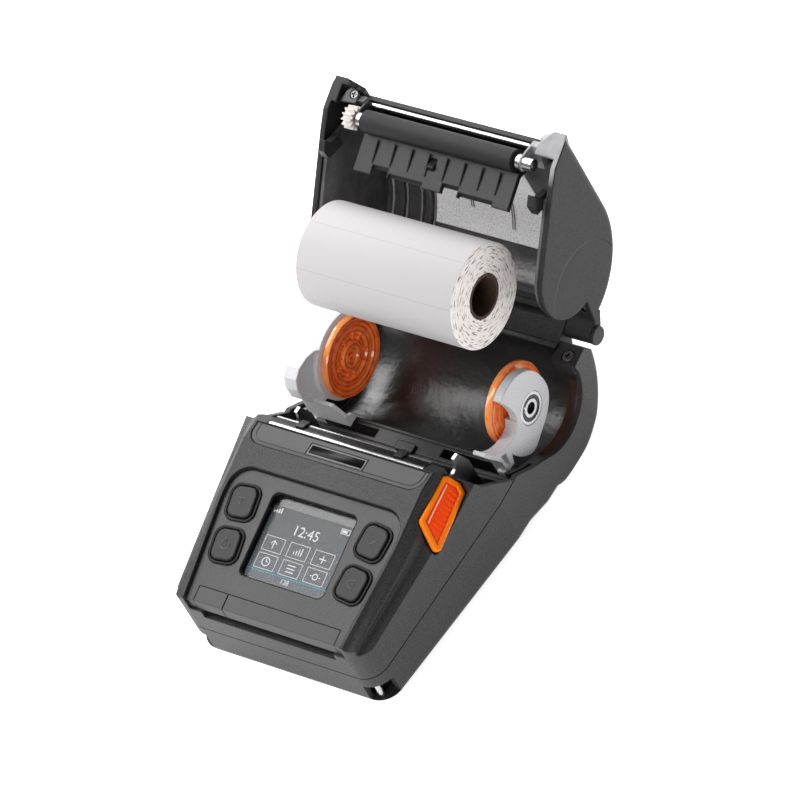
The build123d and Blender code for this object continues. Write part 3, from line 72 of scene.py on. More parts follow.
# %% Camera
camera_place = Vector((1.4696, -0.9778, 1.9399))
camera_right = Vector((0.7919, 0.5036, -0.3455)).normalized()
camera_back = Vector((0.5647, -0.3882, 0.7283)).normalized()
camera_up = camera_back.cross(camera_right)
focal_in_pixels = 6500
frame_pixels = 800
sensor = 36.0

camera = bpy.data.objects.new("camera", bpy.data.cameras.new("camera"))
bpy.context.scene.collection.objects.link(camera)
axes = Matrix((camera_right, camera_up, camera_back)).transposed()
camera.matrix_world = Matrix.Translation(camera_place) @ axes.to_4x4()
camera.data.sensor_width = sensor
camera.data.lens = sensor * focal_in_pixels / frame_pixels
camera.data.clip_end = 50
bpy.context.scene.camera = camera
print("lens", round(camera.data.lens, 1), "mm")

# %% [markdown]
# ## Studio
#
# Charcoal plastic only shows its shape by what it reflects, so the studio is a set of large
# soft boxes: one overhead, a long one behind that draws the light edges, a wide one in front
# and a narrow one at the left. The trough box stands where the empty paper trough and the
# crest of the panel mirror it. The world is a dim room, and the floor is a bright plain sheet.


# %% Studio
def soft_box(name, place, target, width, height, watts):
    """A rectangular area light at place, turned to face target."""
    light = bpy.data.lights.new(name, "AREA")
    light.shape = "RECTANGLE"
    light.size = width
    light.size_y = height
    light.energy = watts
    lamp = bpy.data.objects.new(name, light)
    lamp.location = place
    lamp.rotation_mode = "QUATERNION"
    lamp.rotation_quaternion = (Vector(place) - Vector(target)).to_track_quat("Z", "Y")
    bpy.context.scene.collection.objects.link(lamp)


middle = (cad_box[0] + cad_box[1]) / 2
soft_boxes = {  # place, width, height and watts
    "overhead_box": ((-0.62, -0.05, 1.05), 0.7, 0.7, 9.5),
    "rear_strip": ((-0.5, 0.95, 0.55), 1.2, 0.3, 8),
    "front_fill": ((0.25, -1.2, 0.9), 0.9, 0.5, 7.5),
    "left_strip": ((-1.0, -0.35, 0.45), 0.3, 0.9, 3.5),
    "trough_box": ((-0.85, 0.60, 1.1), 0.42, 0.42, 7),
}
for name, (place, width, height, watts) in soft_boxes.items():
    soft_box(name, place, middle, width, height, watts)

room_light = 0.25
world = bpy.data.worlds.new("pale_room")
world.use_nodes = True
backdrop = world.node_tree.nodes["Background"]
backdrop.inputs["Color"].default_value = (1, 1, 1, 1)
backdrop.inputs["Strength"].default_value = room_light
bpy.context.scene.world = world
bpy.context.scene.view_settings.view_transform = "Standard"

floor_half = 6
floor_low = -0.0002       # a hair under the frame's zero height
floor_mesh = bpy.data.meshes.new("floor")
sheet = bmesh.new()
bmesh.ops.create_grid(sheet, x_segments=1, y_segments=1, size=floor_half)
sheet.to_mesh(floor_mesh)
sheet.free()
floor = bpy.data.objects.new("floor", floor_mesh)
floor.location.z = floor_low
bpy.context.scene.collection.objects.link(floor)
print("studio of", len(bpy.data.lights), "soft boxes")

# %% [markdown]
# ## Shader maths as Python
#
# A procedural finish is arithmetic on noise and coordinates. `Value` wraps a node's output,
# so that `0.5 + 0.1 * grain` adds the Math nodes by itself. `Finish` is one material on a
# Principled shader: `node` adds any node, `set` fills or links one of the shader's sockets.


# %% Value and Finish
class Value:
    """The output of a node; arithmetic on it adds Math nodes to its finish."""

    def __init__(self, finish, socket):
        self.finish = finish
        self.socket = socket

    def maths(self, operation, *values):
        return self.finish.maths_of(operation, *values)

    def __add__(self, other):
        return self.maths("ADD", self, other)

    def __sub__(self, other):
        return self.maths("SUBTRACT", self, other)

    def __rsub__(self, other):
        return self.maths("SUBTRACT", other, self)

    def __mul__(self, other):
        return self.maths("MULTIPLY", self, other)

    def __gt__(self, other):
        return self.maths("GREATER_THAN", self, other)

    def __lt__(self, other):
        return self.maths("LESS_THAN", self, other)

    def __abs__(self):
        return self.maths("ABSOLUTE", self)

    def __mod__(self, other):
        return self.maths("FLOORED_MODULO", self, other)

    __radd__ = __add__
    __rmul__ = __mul__


class Finish:
    """A material: one Principled shader and the nodes that vary it over the surface."""

    def __init__(self, name, colour, roughness, **fixed):
        self.material = bpy.data.materials.new(name)
        self.material.use_nodes = True
        self.tree = self.material.node_tree
        self.shader = self.tree.nodes["Principled BSDF"]
        self.set("Base Color", colour)
        self.set("Roughness", roughness)
        for socket, value in fixed.items():
            self.set(socket.replace("_", " ").title().replace("Ior", "IOR"), value)

    def fill(self, socket, value):
        """Link a Value into a socket, or store a number or colour there."""
        if isinstance(value, Value):
            self.tree.links.new(value.socket, socket)
        elif socket.type == "RGBA":
            socket.default_value = (*value[:3], 1)
        else:
            socket.default_value = value

    def set(self, name, value):
        self.fill(self.shader.inputs[name], value)

    def maths_of(self, operation, *values):
        """A Math node of that operation on numbers or Values."""
        return self.node("ShaderNodeMath", {"operation": operation}, dict(enumerate(values)))

    def node(self, kind, settings=None, sockets=None, output=0):
        """Add a node, set its settings and then its sockets, and return one output."""
        made = self.tree.nodes.new(kind)
        for name, value in (settings or {}).items():
            setattr(made, name, value)
        for name, value in (sockets or {}).items():
            self.fill(made.inputs[name], value)
        return Value(self, made.outputs[output])

    def place(self):
        """The point of the surface in the printer's own frame, in metres."""
        return self.node("ShaderNodeTexCoord", output="Object")

    def along(self, axis):
        """One coordinate of the surface point."""
        return self.node("ShaderNodeSeparateXYZ", {}, {0: self.place()}, axis)

    def noise(self, size, detail=2.0, roughness=0.5):
        """Smooth noise from 0 to 1 whose blobs are about size metres wide."""
        sockets = {"Vector": self.place(), "Scale": 1 / size, "Detail": detail,
                   "Roughness": roughness}
        return self.node("ShaderNodeTexNoise", {}, sockets)

    def mix(self, factor, low, high):
        """A colour between low and high, on the Mix node's colour sockets."""
        factor_in, low_in, high_in, colour_out = 0, 6, 7, 2
        return self.node("ShaderNodeMix", {"data_type": "RGBA", "clamp_factor": True},
                         {factor_in: factor, low_in: low, high_in: high}, colour_out)

    def clip(self, value, low, high):
        """Value moved from the range low..high to 0..1 and kept there."""
        return self.node("ShaderNodeMapRange", {"clamp": True}, {0: value, 1: low, 2: high})

    def bump(self, height, depth, soften=0.0):
        """Raise the surface by up to depth metres where height is 1; soften rounds sharp edges."""
        sockets = {"Height": height, "Distance": depth}
        if soften:
            sockets["Normal"] = self.node("ShaderNodeBevel", {"samples": 6}, {"Radius": soften})
        self.set("Normal", self.node("ShaderNodeBump", {}, sockets))


def grey(level):
    """A neutral colour of that brightness, a touch cooler than true grey."""
    return (level, level, level * 1.03)


print("a Value adds its own Math nodes")

# %% [markdown]
# ## Moulded plastics
#
# The housings come out of a spark-eroded mould, which leaves a fine even grain: tiny pits
# about half a millimetre apart that break up every reflection. The pads are moulded with a
# finer grain and look lighter. A noise of that size drives a bump, and the same noise varies
# the colour a little, as light caught in the pits does.


# %% Moulded plastics
edge_softness = 0.0007    # radius to which the bump rounds sharp edges
hand_width = 0.045


def drift(made, roughness):
    """Let a finish's roughness wander a little over areas as wide as a hand."""
    made.set("Roughness", roughness - 0.04 + 0.1 * made.noise(hand_width, 2.0, 0.5))


def moulding(name, dark, light, roughness, grain, depth, speckle=0.5, **fixed):
    """Grained plastic whose pits are grain metres apart and depth metres deep."""
    made = Finish(name, dark, roughness, **fixed)
    pits = made.noise(grain, 3.0, 0.6)
    spots = made.clip(pits, 0.5 - speckle / 2, 0.5 + speckle / 2)
    made.set("Base Color", made.mix(spots, dark, light))
    drift(made, roughness)
    made.bump(pits, depth, soften=edge_softness)
    return made


charcoal = moulding("charcoal_moulding", grey(0.010), grey(0.042), 0.48, 0.00055, 0.00013, 0.34,
                    specular_ior_level=0.36)
slate = moulding("pad_moulding", grey(0.020), grey(0.052), 0.42, 0.00042, 0.00008, 0.34,
                 specular_ior_level=0.4)
satin_black = moulding("satin_black_moulding", grey(0.010), grey(0.020), 0.42, 0.0004, 0.00006,
                       specular_ior_level=0.35)
gloss_black = moulding("gloss_black_moulding", grey(0.009), grey(0.013), 0.24, 0.0020, 0.00003)
light_grey = moulding("light_grey_moulding", grey(0.45), grey(0.66), 0.5, 0.00050, 0.00010, 0.34)
# painted light: the left holder's scoop glows a little, lifting its deep cup out of shade
scoop_painted_light = moulding("scoop_painted_light_moulding", grey(0.50), grey(0.64), 0.5, 0.00035, 0.00006,
                      emission_color=(1, 1, 1), emission_strength=0.09)
# painted light: the speckled panel glows a little where the cover's inside lies in shade
panel_painted_light = moulding("speckled_panel", grey(0.50), grey(0.98), 0.6, 0.00050, 0.00008, 0.3,
                      emission_color=(1, 1, 1), emission_strength=0.17)
white_gear = moulding("white_gear_moulding", (0.66, 0.60, 0.55), (0.80, 0.76, 0.71), 0.42, 0.0010,
                      0.00002)
bay_black = moulding("trough_moulding", grey(0.007), grey(0.012), 0.34, 0.011, 0.0006,
                     specular_ior_level=0.8)
# painted reflection: the glossy black liner is painted grey for the light it reflects
liner_painted_sheen = moulding("liner_painted_sheen_moulding", grey(0.07), grey(0.13), 0.24, 0.011, 0.0005)
badge_grey = moulding("badge_rim_moulding", grey(0.07), grey(0.11), 0.35, 0.0015, 0.00002)
# painted highlight: light grey for the liner ribs' long highlights
rib_painted_highlight = moulding("liner_rib_painted_highlight", grey(0.38), grey(0.6), 0.25, 0.006, 0.0001)
key_collar_black = moulding("key_collar_moulding", grey(0.002), grey(0.004), 0.25, 0.002, 0.00002,
                            specular_ior_level=0.12)
print("the other mouldings")

# %% [markdown]
# The cover wears a darker copy of the housing's charcoal, painted shade on the same plastic,
# and a shallow round relief lies on each of its side lobes.
# A mask from the surface's own coordinates makes that relief in the bump, and another mask
# lays a painted highlight, a light grey reflection, on the top of the right horn's cap, while the
# left horn's bracket stays dark. The painted highlight is only a colour on the cover's own
# surface.

# %% Cover and horns
lobe_centre = (0.097, 0.055)       # y and z
lobe_edge = (0.0218, 0.0226)       # radii between which the relief rises
cap_height = (0.1135, 0.1185)      # z over which the painted highlight sets in
cap_sides = (0.0438, 0.0576)       # x of the cap's painted highlight

cover_charcoal = Finish("cover_moulding_painted_shade", grey(0.014), 0.5, specular_ior_level=0.3)
drift(cover_charcoal, 0.5)
lobe_y = cover_charcoal.along(1) - lobe_centre[0]
lobe_z = cover_charcoal.along(2) - lobe_centre[1]
lobe_radius = cover_charcoal.maths_of("SQRT", lobe_y * lobe_y + lobe_z * lobe_z)
lobe = cover_charcoal.clip(lobe_radius, *lobe_edge)
cover_grain = cover_charcoal.noise(0.00055, 3.0, 0.6)
cover_charcoal.bump(cover_grain * 0.12 + lobe, 0.0006, soften=0.0012)

across = cover_charcoal.along(0)
ragged_z = cover_charcoal.along(2) + 0.004 * cover_charcoal.noise(0.006)
tip = cover_charcoal.clip(ragged_z, *cap_height)
cap_side = (across > cap_sides[0]) * (across < cap_sides[1])
# painted shade: the same charcoal as the housing, painted darker as the cover looks in shade
cover_shaded_charcoal = cover_charcoal.mix(cover_charcoal.clip(cover_grain, 0.33, 0.67),
                                (0.008, 0.008, 0.0083), (0.026, 0.026, 0.027))
# painted highlight: a mottled light grey reflection on the top of the right horn's cap
cover_painted_highlight = cover_charcoal.mix(cover_charcoal.noise(0.005, 2.0, 0.5),
                                (0.22, 0.22, 0.224), (0.46, 0.46, 0.47))
cover_charcoal.set("Base Color", cover_charcoal.mix(tip * cap_side, cover_shaded_charcoal, cover_painted_highlight))

horn_grey = moulding("horn_moulding", grey(0.03), grey(0.05), 0.45, 0.0012, 0.00008)
# painted highlight: the right bracket is painted light grey to go with the cap's reflection
blotches = horn_grey.clip(horn_grey.noise(0.0035, 3.0, 0.6), 0.3, 0.6)
at_right = horn_grey.along(0) > 0.03
left_bracket = horn_grey.mix(blotches, (0.03, 0.03, 0.031), (0.05, 0.05, 0.051))
right_bracket_painted_highlight = horn_grey.mix(blotches, (0.26, 0.26, 0.265), (0.42, 0.42, 0.43))
horn_grey.set("Base Color", horn_grey.mix(at_right, left_bracket, right_bracket_painted_highlight))
print("cover and horn finishes")

# %% [markdown]
# ## Rubber, metal, boards and orange plastic
#
# Rubber is the same grained surface as a moulding, only duller. Bare metal has no colour of
# its own beyond what it mirrors, so its look lies in the roughness: a smudge and fine scratches
# along X vary it. The tear bar carries a painted reflection: dark in the middle, with a painted
# highlight along its front edge and its teeth, which two masks on Y tell apart. The orange discs
# are clear plastic with rings cut into them, and waves of the distance from their axis paint
# bright rings on them, painted light that passes through the plastic and catches their rims. They
# and the lever's inlay give off a little light, in place of the light that the real plastic passes
# on.

# %% Rubbers
key_rubber = moulding("key_rubber", grey(0.006), grey(0.014), 0.5, 0.0003, 0.00004,
                      specular_ior_level=0.4)
platen_black = moulding("platen_rubber_skin", grey(0.007), grey(0.013), 0.6, 0.00025, 0.00005,
                        specular_ior_level=0.35)
port_rubber = moulding("port_rubber", grey(0.050), grey(0.066), 0.6, 0.00035, 0.00005)
print("three rubbers")


# %% Metals
scratch_scale = (40, 2600, 2600)   # long along X, fine across it


def metal(name, colour, roughness, brushed=0.0):
    """Bare metal; brushed is the depth of scratches that run along X."""
    made = Finish(name, colour, roughness, metallic=1.0)
    stretched = made.node("ShaderNodeMapping", {},
                          {"Vector": made.place(), "Scale": scratch_scale})
    scratch = made.node("ShaderNodeTexNoise", {},
                        {"Vector": stretched, "Scale": 1.0, "Detail": 3.0})
    smudge = made.noise(0.008, 3.0, 0.6)
    made.set("Roughness", roughness - 0.06 + 0.12 * smudge + 0.08 * scratch)
    if brushed:
        made.bump(scratch, brushed)
    return made


steel = metal("bare_steel", (0.34, 0.34, 0.345), 0.26, 0.000015)
bright_steel = metal("ground_steel", (0.50, 0.50, 0.51), 0.2)
blade_steel = metal("blade_steel", (0.4, 0.4, 0.4), 0.24, 0.000015)
front_edge = (-0.0002, -0.0010)    # y over which the painted highlight sets in, front and rear
teeth_edge = (0.0034, 0.0037)
# painted reflection: dark steel with a painted highlight along the front edge and the teeth
front_painted_highlight = blade_steel.clip(blade_steel.along(1), *front_edge)
teeth_painted_highlight = blade_steel.clip(blade_steel.along(1), *teeth_edge)
blade_steel.set("Base Color", blade_steel.mix(front_painted_highlight + teeth_painted_highlight, (0.07, 0.07, 0.072),
                                              (0.74, 0.74, 0.75)))
dark_steel = metal("black_screw_steel", (0.16, 0.16, 0.17), 0.34)
aluminium = metal("cast_aluminium", (0.62, 0.63, 0.65), 0.42, 0.00002)
print("five metals")

# %% Boards, orange plastic and glass
cardboard = moulding("core_board", (0.045, 0.022, 0.014), (0.075, 0.038, 0.026), 0.8, 0.0009,
                     0.00008)
board_green = moulding("circuit_board", (0.008, 0.085, 0.035), (0.012, 0.12, 0.05), 0.35, 0.003,
                       0.00004)
ceramic = moulding("head_ceramic", (0.62, 0.6, 0.55), (0.7, 0.68, 0.64), 0.25, 0.002, 0.00001)

spool = (51.0, 34.5)      # the discs' axis, y and z in millimetres
ring_waves = 3300.0       # radians of the wave in a metre of radius
orange = Finish("orange_translucent", (0.95, 0.13, 0.004), 0.2, transmission_weight=0.3,
                coat_weight=0.7, coat_roughness=0.06, ior=1.49)
disc_y = orange.along(1) - spool[0] * mm
disc_z = orange.along(2) - spool[1] * mm
disc_radius = orange.maths_of("SQRT", disc_y * disc_y + disc_z * disc_z)
swirl = orange.clip(orange.noise(0.0045, 2.0, 0.5), 0.40, 0.60)
waves = orange.maths_of("SINE", disc_radius * ring_waves + swirl * 0.8)
# painted light: bright rings for light through the clear plastic and off its rims
painted_ring_light = orange.clip(waves * 0.35 + swirl * 0.35, -0.35, 0.65)
orange.set("Base Color", orange.mix(painted_ring_light, (0.88, 0.12, 0.010), (1.0, 0.42, 0.11)))
orange.set("Emission Color", orange.mix(painted_ring_light, (0.35, 0.02, 0.0), (1.0, 0.22, 0.04)))
orange.set("Emission Strength", 0.10)

lever_orange = moulding("lever_orange", (1.0, 0.16, 0.0), (1.0, 0.28, 0.004), 0.3, 0.0012, 0.00002,
                        specular_ior_level=0.3)
lever_red = moulding("lever_red", (0.88, 0.035, 0.0), (1.0, 0.11, 0.0), 0.28, 0.0007, 0.00002,
                     specular_ior_level=0.3, emission_color=(1, 0.05, 0), emission_strength=0.12)
# painted highlight: the pale finish of the strip that stands for the lever's white reflection
lever_highlight_finish = moulding("lever_painted_highlight", (1.0, 0.45, 0.25), (1.0, 0.72, 0.55), 0.2, 0.002, 0.00001)

glass = Finish("clear_cover", (0.02, 0.022, 0.025), 0.05, specular_ior_level=0.2)
glass.set("Alpha", 0.05 + 0.01 * glass.noise(0.01))
screen = Finish("screen_mask", (0.006, 0.006, 0.007), 0.25, coat_weight=0.5)
screen.set("Roughness", 0.2 + 0.1 * screen.noise(0.004))
print("boards, orange plastic and glass")

# %% [markdown]
# ## Label paper
#
# The roll's round face shows where one label ends and the next begins: a hairline across the
# web at every label's length. Its two ends show the layers instead, as fine rings with the
# odd darker dash where a gap between labels comes past.

# %% Label paper
roll_axis = (65.6, 85.6)  # y and z in millimetres
roll_end = 0.0387         # past this distance from the middle the roll shows its layers
label_turn = 0.93         # radians of one label on the outermost turn
paper = Finish("roll_paper", (0.5, 0.49, 0.5), 0.6)
from_axis_y = paper.along(1) - roll_axis[0] * mm
from_axis_z = paper.along(2) - roll_axis[1] * mm
turn = paper.maths_of("ARCTAN2", from_axis_z, from_axis_y)
radius = paper.maths_of("SQRT", from_axis_y * from_axis_y + from_axis_z * from_axis_z)
hairline = (turn + 4.0) % label_turn < 0.012
fibre = paper.noise(0.0007, 3.0, 0.6)
plain = paper.mix(fibre, (0.475, 0.46, 0.47), (0.515, 0.495, 0.51))
face = paper.mix(hairline, plain, (0.40, 0.385, 0.395))
rings = paper.node("ShaderNodeCombineXYZ", {}, {0: radius * 1700.0, 1: turn * 4.0})
dashes = paper.node("ShaderNodeTexNoise", {}, {"Vector": rings, "Scale": 1.0, "Detail": 3.0})
layers = paper.mix(paper.clip(dashes, 0.34, 0.46), (0.10, 0.07, 0.06), (0.92, 0.86, 0.83))
at_end = abs(paper.along(0)) > roll_end
paper.set("Base Color", paper.mix(at_end, face, layers))
paper.bump(fibre + at_end * dashes, 0.00003)
print("paper with hairlines and layered ends")

# %% [markdown]
# ## Finishes on the CAD nodes
#
# A table says which finish each CAD node wears, so that pieces of one material can't drift
# apart. A node's own material slots are emptied first, and the last line prints any node that
# the table has left out.

# %% Finishes on the CAD nodes
finish_of = {
    charcoal: ["lower_housing", "upper_housing"],
    cover_charcoal: ["cover_shell"],
    slate: ["control_pad", "tear_pad", "name_plate"],
    port_rubber: ["port_cover", "port_cover_tab"],
    bay_black: ["roll_chamber"],
    liner_painted_sheen: ["cover_liner"],
    horn_grey: ["horn_brackets"],
    satin_black: ["spool_rail", "paper_guide", "cover_catches", "tear_bar_clips",
                  "port_block", "media_sensor", "gap_sensor", "battery_pack", "hinge_pins"],
    key_rubber: ["feed_key", "power_key", "enter_key", "back_key", "key_mat"],
    board_green: ["main_board", "key_board"],
    steel: ["tear_bar", "print_frame", "head_springs", "lever_spring", "drive_motor"],
    bright_steel: ["peel_bar", "platen_shaft", "strap_pins", "latch_bar", "bearing_left",
                   "platen_bushes"],
    dark_steel: ["housing_screws", "cover_screws"],
    aluminium: ["head_bracket"],
    ceramic: ["print_head"],
    light_grey: ["holder_right", "bearing_right"],
    scoop_painted_light: ["holder_left"],
    panel_painted_light: ["cover_panel"],
    orange: ["open_lever", "disc_left", "disc_right"],
    white_gear: ["platen_gear", "idler_gear", "motor_pinion", "spool_pinion"],
    platen_black: ["platen_rubber"],
    paper: ["label_roll"],
    cardboard: ["roll_core"],
    glass: ["display_glass"],
    screen: ["display_module"],
}
for finish, names in finish_of.items():
    for name in names:
        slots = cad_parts[name].data.materials
        slots.clear()
        slots.append(finish.material)
floor_finish = Finish("pale_floor", (0.9, 0.9, 0.9), 0.9, emission_color=(1, 1, 1),
                      emission_strength=0.8)
floor.data.materials.append(floor_finish.material)
bare = set(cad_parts) - {name for names in finish_of.values() for name in names}
print("nodes without a finish:", sorted(bare))

# %% [markdown]
# ## Making new pieces
#
# New pieces are drawn in millimetres in the plane where they lie, and then set in place by
# that plane's matrix. A rounded plate is a grid of one square whose corners are bevelled and
# whose face is extruded. A ribbon is a grid one square wide, bent along points. Round pieces
# are a profile spun once round an axis.


# %% Piece makers
def plane_matrix(origin, right, up):
    """Matrix from a plane's own millimetres to the printer's frame in metres."""
    right = Vector(right).normalized()
    up = Vector(up).normalized()
    turned = Matrix((right, up, right.cross(up))).transposed().to_4x4()
    return Matrix.Translation(Vector(origin) * mm) @ turned @ Matrix.Scale(mm, 4)


def shift(made, verts, vector):
    bmesh.ops.translate(made, vec=vector, verts=verts)


def top_edges(made, height):
    """Edges sharper than about 46 degrees that lie at a height."""
    return [e for e in made.edges if e.calc_face_angle(0) > 0.8
            and all(abs(v.co.z - height) < 0.001 for v in e.verts)]


def raise_faces(made, thickness, crown=0.0):
    """Thicken a flat sheet upwards into a closed plate and round its upper edge."""
    high = max(v.co.z for v in made.verts) + thickness
    raised = bmesh.ops.extrude_face_region(made, geom=made.faces[:])["geom"]
    shift(made, [v for v in raised if isinstance(v, bmesh.types.BMVert)], (0, 0, thickness))
    bmesh.ops.recalc_face_normals(made, faces=made.faces)
    if crown:
        bmesh.ops.bevel(made, geom=top_edges(made, high), offset=crown, segments=3, profile=0.5,
                        affect="EDGES", material=-1)
    return made


def rounded_sheet(size, corner, centre=(0, 0), low=0.0):
    """A flat rounded rectangle."""
    made = bmesh.new()
    bmesh.ops.create_grid(made, x_segments=1, y_segments=1, size=0.5)
    bmesh.ops.scale(made, vec=(size[0], size[1], 1), verts=made.verts)
    bmesh.ops.bevel(made, geom=made.verts[:], offset=corner, segments=7, profile=0.5,
                    affect="VERTICES", material=-1)
    shift(made, made.verts, (*centre, low))
    return made


def plate(size, corner, thickness, crown=0.0, centre=(0, 0), low=0.0):
    """A rounded rectangular plate."""
    return raise_faces(rounded_sheet(size, corner, centre, low), thickness, crown)


def hoop(size, corner, width, thickness, crown=0.0):
    """A plate with a window, width from the edge."""
    made = rounded_sheet(size, corner)
    inner = made.faces[:]
    bmesh.ops.inset_region(made, faces=inner, thickness=width, use_even_offset=True,
                           use_boundary=True)
    bmesh.ops.delete(made, geom=inner, context="FACES")
    return raise_faces(made, thickness, crown)


least_round = 0.3         # an inset corner keeps at least this radius


def rounded(points, radius, inset=0.0, steps=5):
    """Outline of a counterclockwise polygon moved inwards, its corners rounded."""
    corners = [Vector(point) for point in points]
    outline = []
    for i, corner in enumerate(corners):
        before = (corner - corners[i - 1]).normalized()
        after = (corners[(i + 1) % len(corners)] - corner).normalized()
        first = Vector((before.y, -before.x))
        second = Vector((after.y, -after.x))
        half = (first + second).normalized()
        reach = max(radius, inset + least_round)
        centre = corner - half * reach / half.dot(first)
        turn = first.angle_signed(second)
        for step in range(steps + 1):
            facing = Matrix.Rotation(-turn * step / steps, 2) @ first
            outline.append(centre + facing * (reach - inset))
    return outline


def lofted(levels):
    """A closed body through outlines (points, height, finish index), the first and last capped."""
    made = bmesh.new()
    below = []
    for i, (points, height, index) in enumerate(levels):
        capped = i in (0, len(levels) - 1)
        ring = bmesh.ops.create_circle(made, cap_ends=capped, segments=len(points),
                                       radius=1)["verts"]
        for vert, point in zip(ring, points):
            vert.co = (*point, height)
        edges = list({e for v in ring for e in v.link_edges})
        if below:
            sides = bmesh.ops.bridge_loops(made, edges=below + edges)["faces"]
            for face in sides + [f for v in ring for f in v.link_faces]:
                face.material_index = index
        below = edges
    bmesh.ops.recalc_face_normals(made, faces=made.faces)
    return made


def ribbon(points, width, thickness, low=0.0):
    """A flat strip along points, raised by its thickness."""
    made = bmesh.new()
    last = len(points) - 1
    bmesh.ops.create_grid(made, x_segments=last, y_segments=1, size=1)
    made.verts.ensure_lookup_table()
    spots = [Vector(point) for point in points]
    for i, spot in enumerate(spots):
        ahead = (spots[min(i + 1, last)] - spots[max(i - 1, 0)]).normalized()
        sideways = Vector((-ahead.y, ahead.x)) * width / 2
        made.verts[i].co = (*(spot - sideways), low)
        made.verts[i + last + 1].co = (*(spot + sideways), low)
    return raise_faces(made, thickness)


def arc(centre, radius, start, end, steps=10):
    """Points along an arc, angles in degrees."""
    turns = [radians(start + (end - start) * i / steps) for i in range(steps + 1)]
    return [(centre[0] + radius * cos(t), centre[1] + radius * sin(t)) for t in turns]


def spun(profile, steps=120):
    """A profile of (x, radius) points spun once about the X axis."""
    made = bmesh.new()
    x, radius = profile[0]
    tail = bmesh.ops.create_vert(made, co=(x, 0, radius))["vert"]
    for x, radius in profile[1:]:
        tail = bmesh.ops.extrude_vert_indiv(made, verts=tail)["verts"]
        tail[0].co = (x, 0, radius)
    bmesh.ops.spin(made, geom=made.verts[:] + made.edges[:], axis=(1, 0, 0), cent=(0, 0, 0),
                   angle=radians(360), steps=steps, use_merge=True)
    return made


def join(*parts):
    """Several meshes as one."""
    whole = bmesh.new()
    for part in parts:
        held = bpy.data.meshes.new("held")
        part.to_mesh(held)
        part.free()
        whole.from_mesh(held)
        bpy.data.meshes.remove(held)
    return whole


def piece(name, made, matrix, body, finishes, nodes=(), sharp=35):
    """Set a mesh in place as a piece that rides on a body and may stand for CAD nodes."""
    bmesh.ops.remove_doubles(made, verts=made.verts, dist=0.0005)
    bmesh.ops.transform(made, matrix=matrix, verts=made.verts)
    bmesh.ops.recalc_face_normals(made, faces=made.faces)
    data = bpy.data.meshes.new(name)
    made.to_mesh(data)
    made.free()
    data.shade_smooth()
    data.set_sharp_from_angle(angle=radians(sharp))
    made_object = bpy.data.objects.new(name, data)
    bpy.context.scene.collection.objects.link(made_object)
    finishes = finishes if isinstance(finishes, (list, tuple)) else [finishes]
    for finish in finishes:
        data.materials.append(finish.material)
    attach(made_object, body)
    if nodes:
        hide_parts(*nodes)
    print(name, len(data.polygons), "faces")


world_plane = plane_matrix((0, 0, 0), (1, 0, 0), (0, 1, 0))

# %% [markdown]
# ## Tear bar
#
# The bar is a strip of bright sheet steel whose rear edge is cut into 102 fine teeth. A
# grid with two columns for each tooth carries the whole shape: its rows follow the bent
# section, and in the last row every second point steps back to make a valley.

# %% Tear bar
tooth_pitch = 0.76
tooth_count = 102
bar_rows = [(-1.6, 57.75), (-1.45, 58.1), (-0.6, 57.95), (1.4, 56.95), (2.3, 56.4), (3.3, 55.95),
            (4.35, 55.5)]
valley = (3.75, 55.76)
blade_thickness = 0.45

made = bmesh.new()
bmesh.ops.create_grid(made, x_segments=2 * tooth_count, y_segments=len(bar_rows) - 1, size=1)
made.verts.ensure_lookup_table()
columns = 2 * tooth_count + 1
for i, vert in enumerate(made.verts):
    row, column = divmod(i, columns)
    y, z = bar_rows[row]
    if row == len(bar_rows) - 1 and column % 2 == 0:
        y, z = valley
    vert.co = ((column - tooth_count) * tooth_pitch / 2, y, z)
bmesh.ops.recalc_face_normals(made, faces=made.faces)
bmesh.ops.solidify(made, geom=made.faces[:], thickness=blade_thickness)
piece("tear_blade", made, world_plane, "base", blade_steel, ["tear_bar"], sharp=28)

# %% [markdown]
# ## Opening lever
#
# The lever is moulded in two shots: a bright frame, and a deeper red inlay with raised ribs.
# Its outline is a five-sided polygon with rounded corners. The same polygon moved inwards gives
# every further ring, and rings at falling and rising heights are bridged one to the next.

# %% Opening lever
lever_plane = plane_matrix((53.5, -12.0, 48.9), (0, 1, 0), (-0.66, 0, 0.75))
lever_outline = [(12.6, 9.3), (-9.7, 7.2), (-17.2, -6.9), (11.6, -2.2), (13.6, 1.6)]
lever_corner = 1.9
lever_steps = [  # inset, height and finish of each ring
    (0, -2.6, 0), (0, -0.7, 0), (0.2, -0.25, 0), (0.7, 0, 0), (1.9, 0, 0), (2.3, -0.8, 0),
    (2.8, -0.8, 1), (3.1, -0.45, 1), (3.6, -0.4, 1),
]
lever_body = lofted([(rounded(lever_outline, lever_corner, inset), height, index)
                     for inset, height, index in lever_steps])
lever_ribs = [ribbon([(x, -1.6 + 0.13 * x), (x + 0.5, 3.2 + 0.05 * x)], 0.8, 0.32, -0.42)
              for x in (-9.2, -7.0, -4.8, -2.6, -0.4, 1.8, 4.0, 6.2, 8.4)]
for rib in lever_ribs:
    for face in rib.faces:
        face.material_index = 1
piece("lever_cap", join(lever_body, *lever_ribs), lever_plane, "lever", [lever_orange, lever_red],
      ["open_lever"])
# painted highlight: a pale strip along the inlay's inner edge stands for a white reflection
highlight_strip = ribbon([(9.6, 5.9), (4.0, 5.3), (-3.0, 4.6), (-8.2, 3.9)], 0.5, 0.4, -0.5)
piece("lever_painted_highlight_strip", highlight_strip, lever_plane, "lever", lever_highlight_finish)

# %% [markdown]
# ## Orange discs
#
# Each disc is one translucent moulding that turns in its holder: a lip, two ring grooves and a
# hub with ribs. One closed profile of depth and radius is spun for both sides, and ribs are
# set into the sunken ring round the hub.

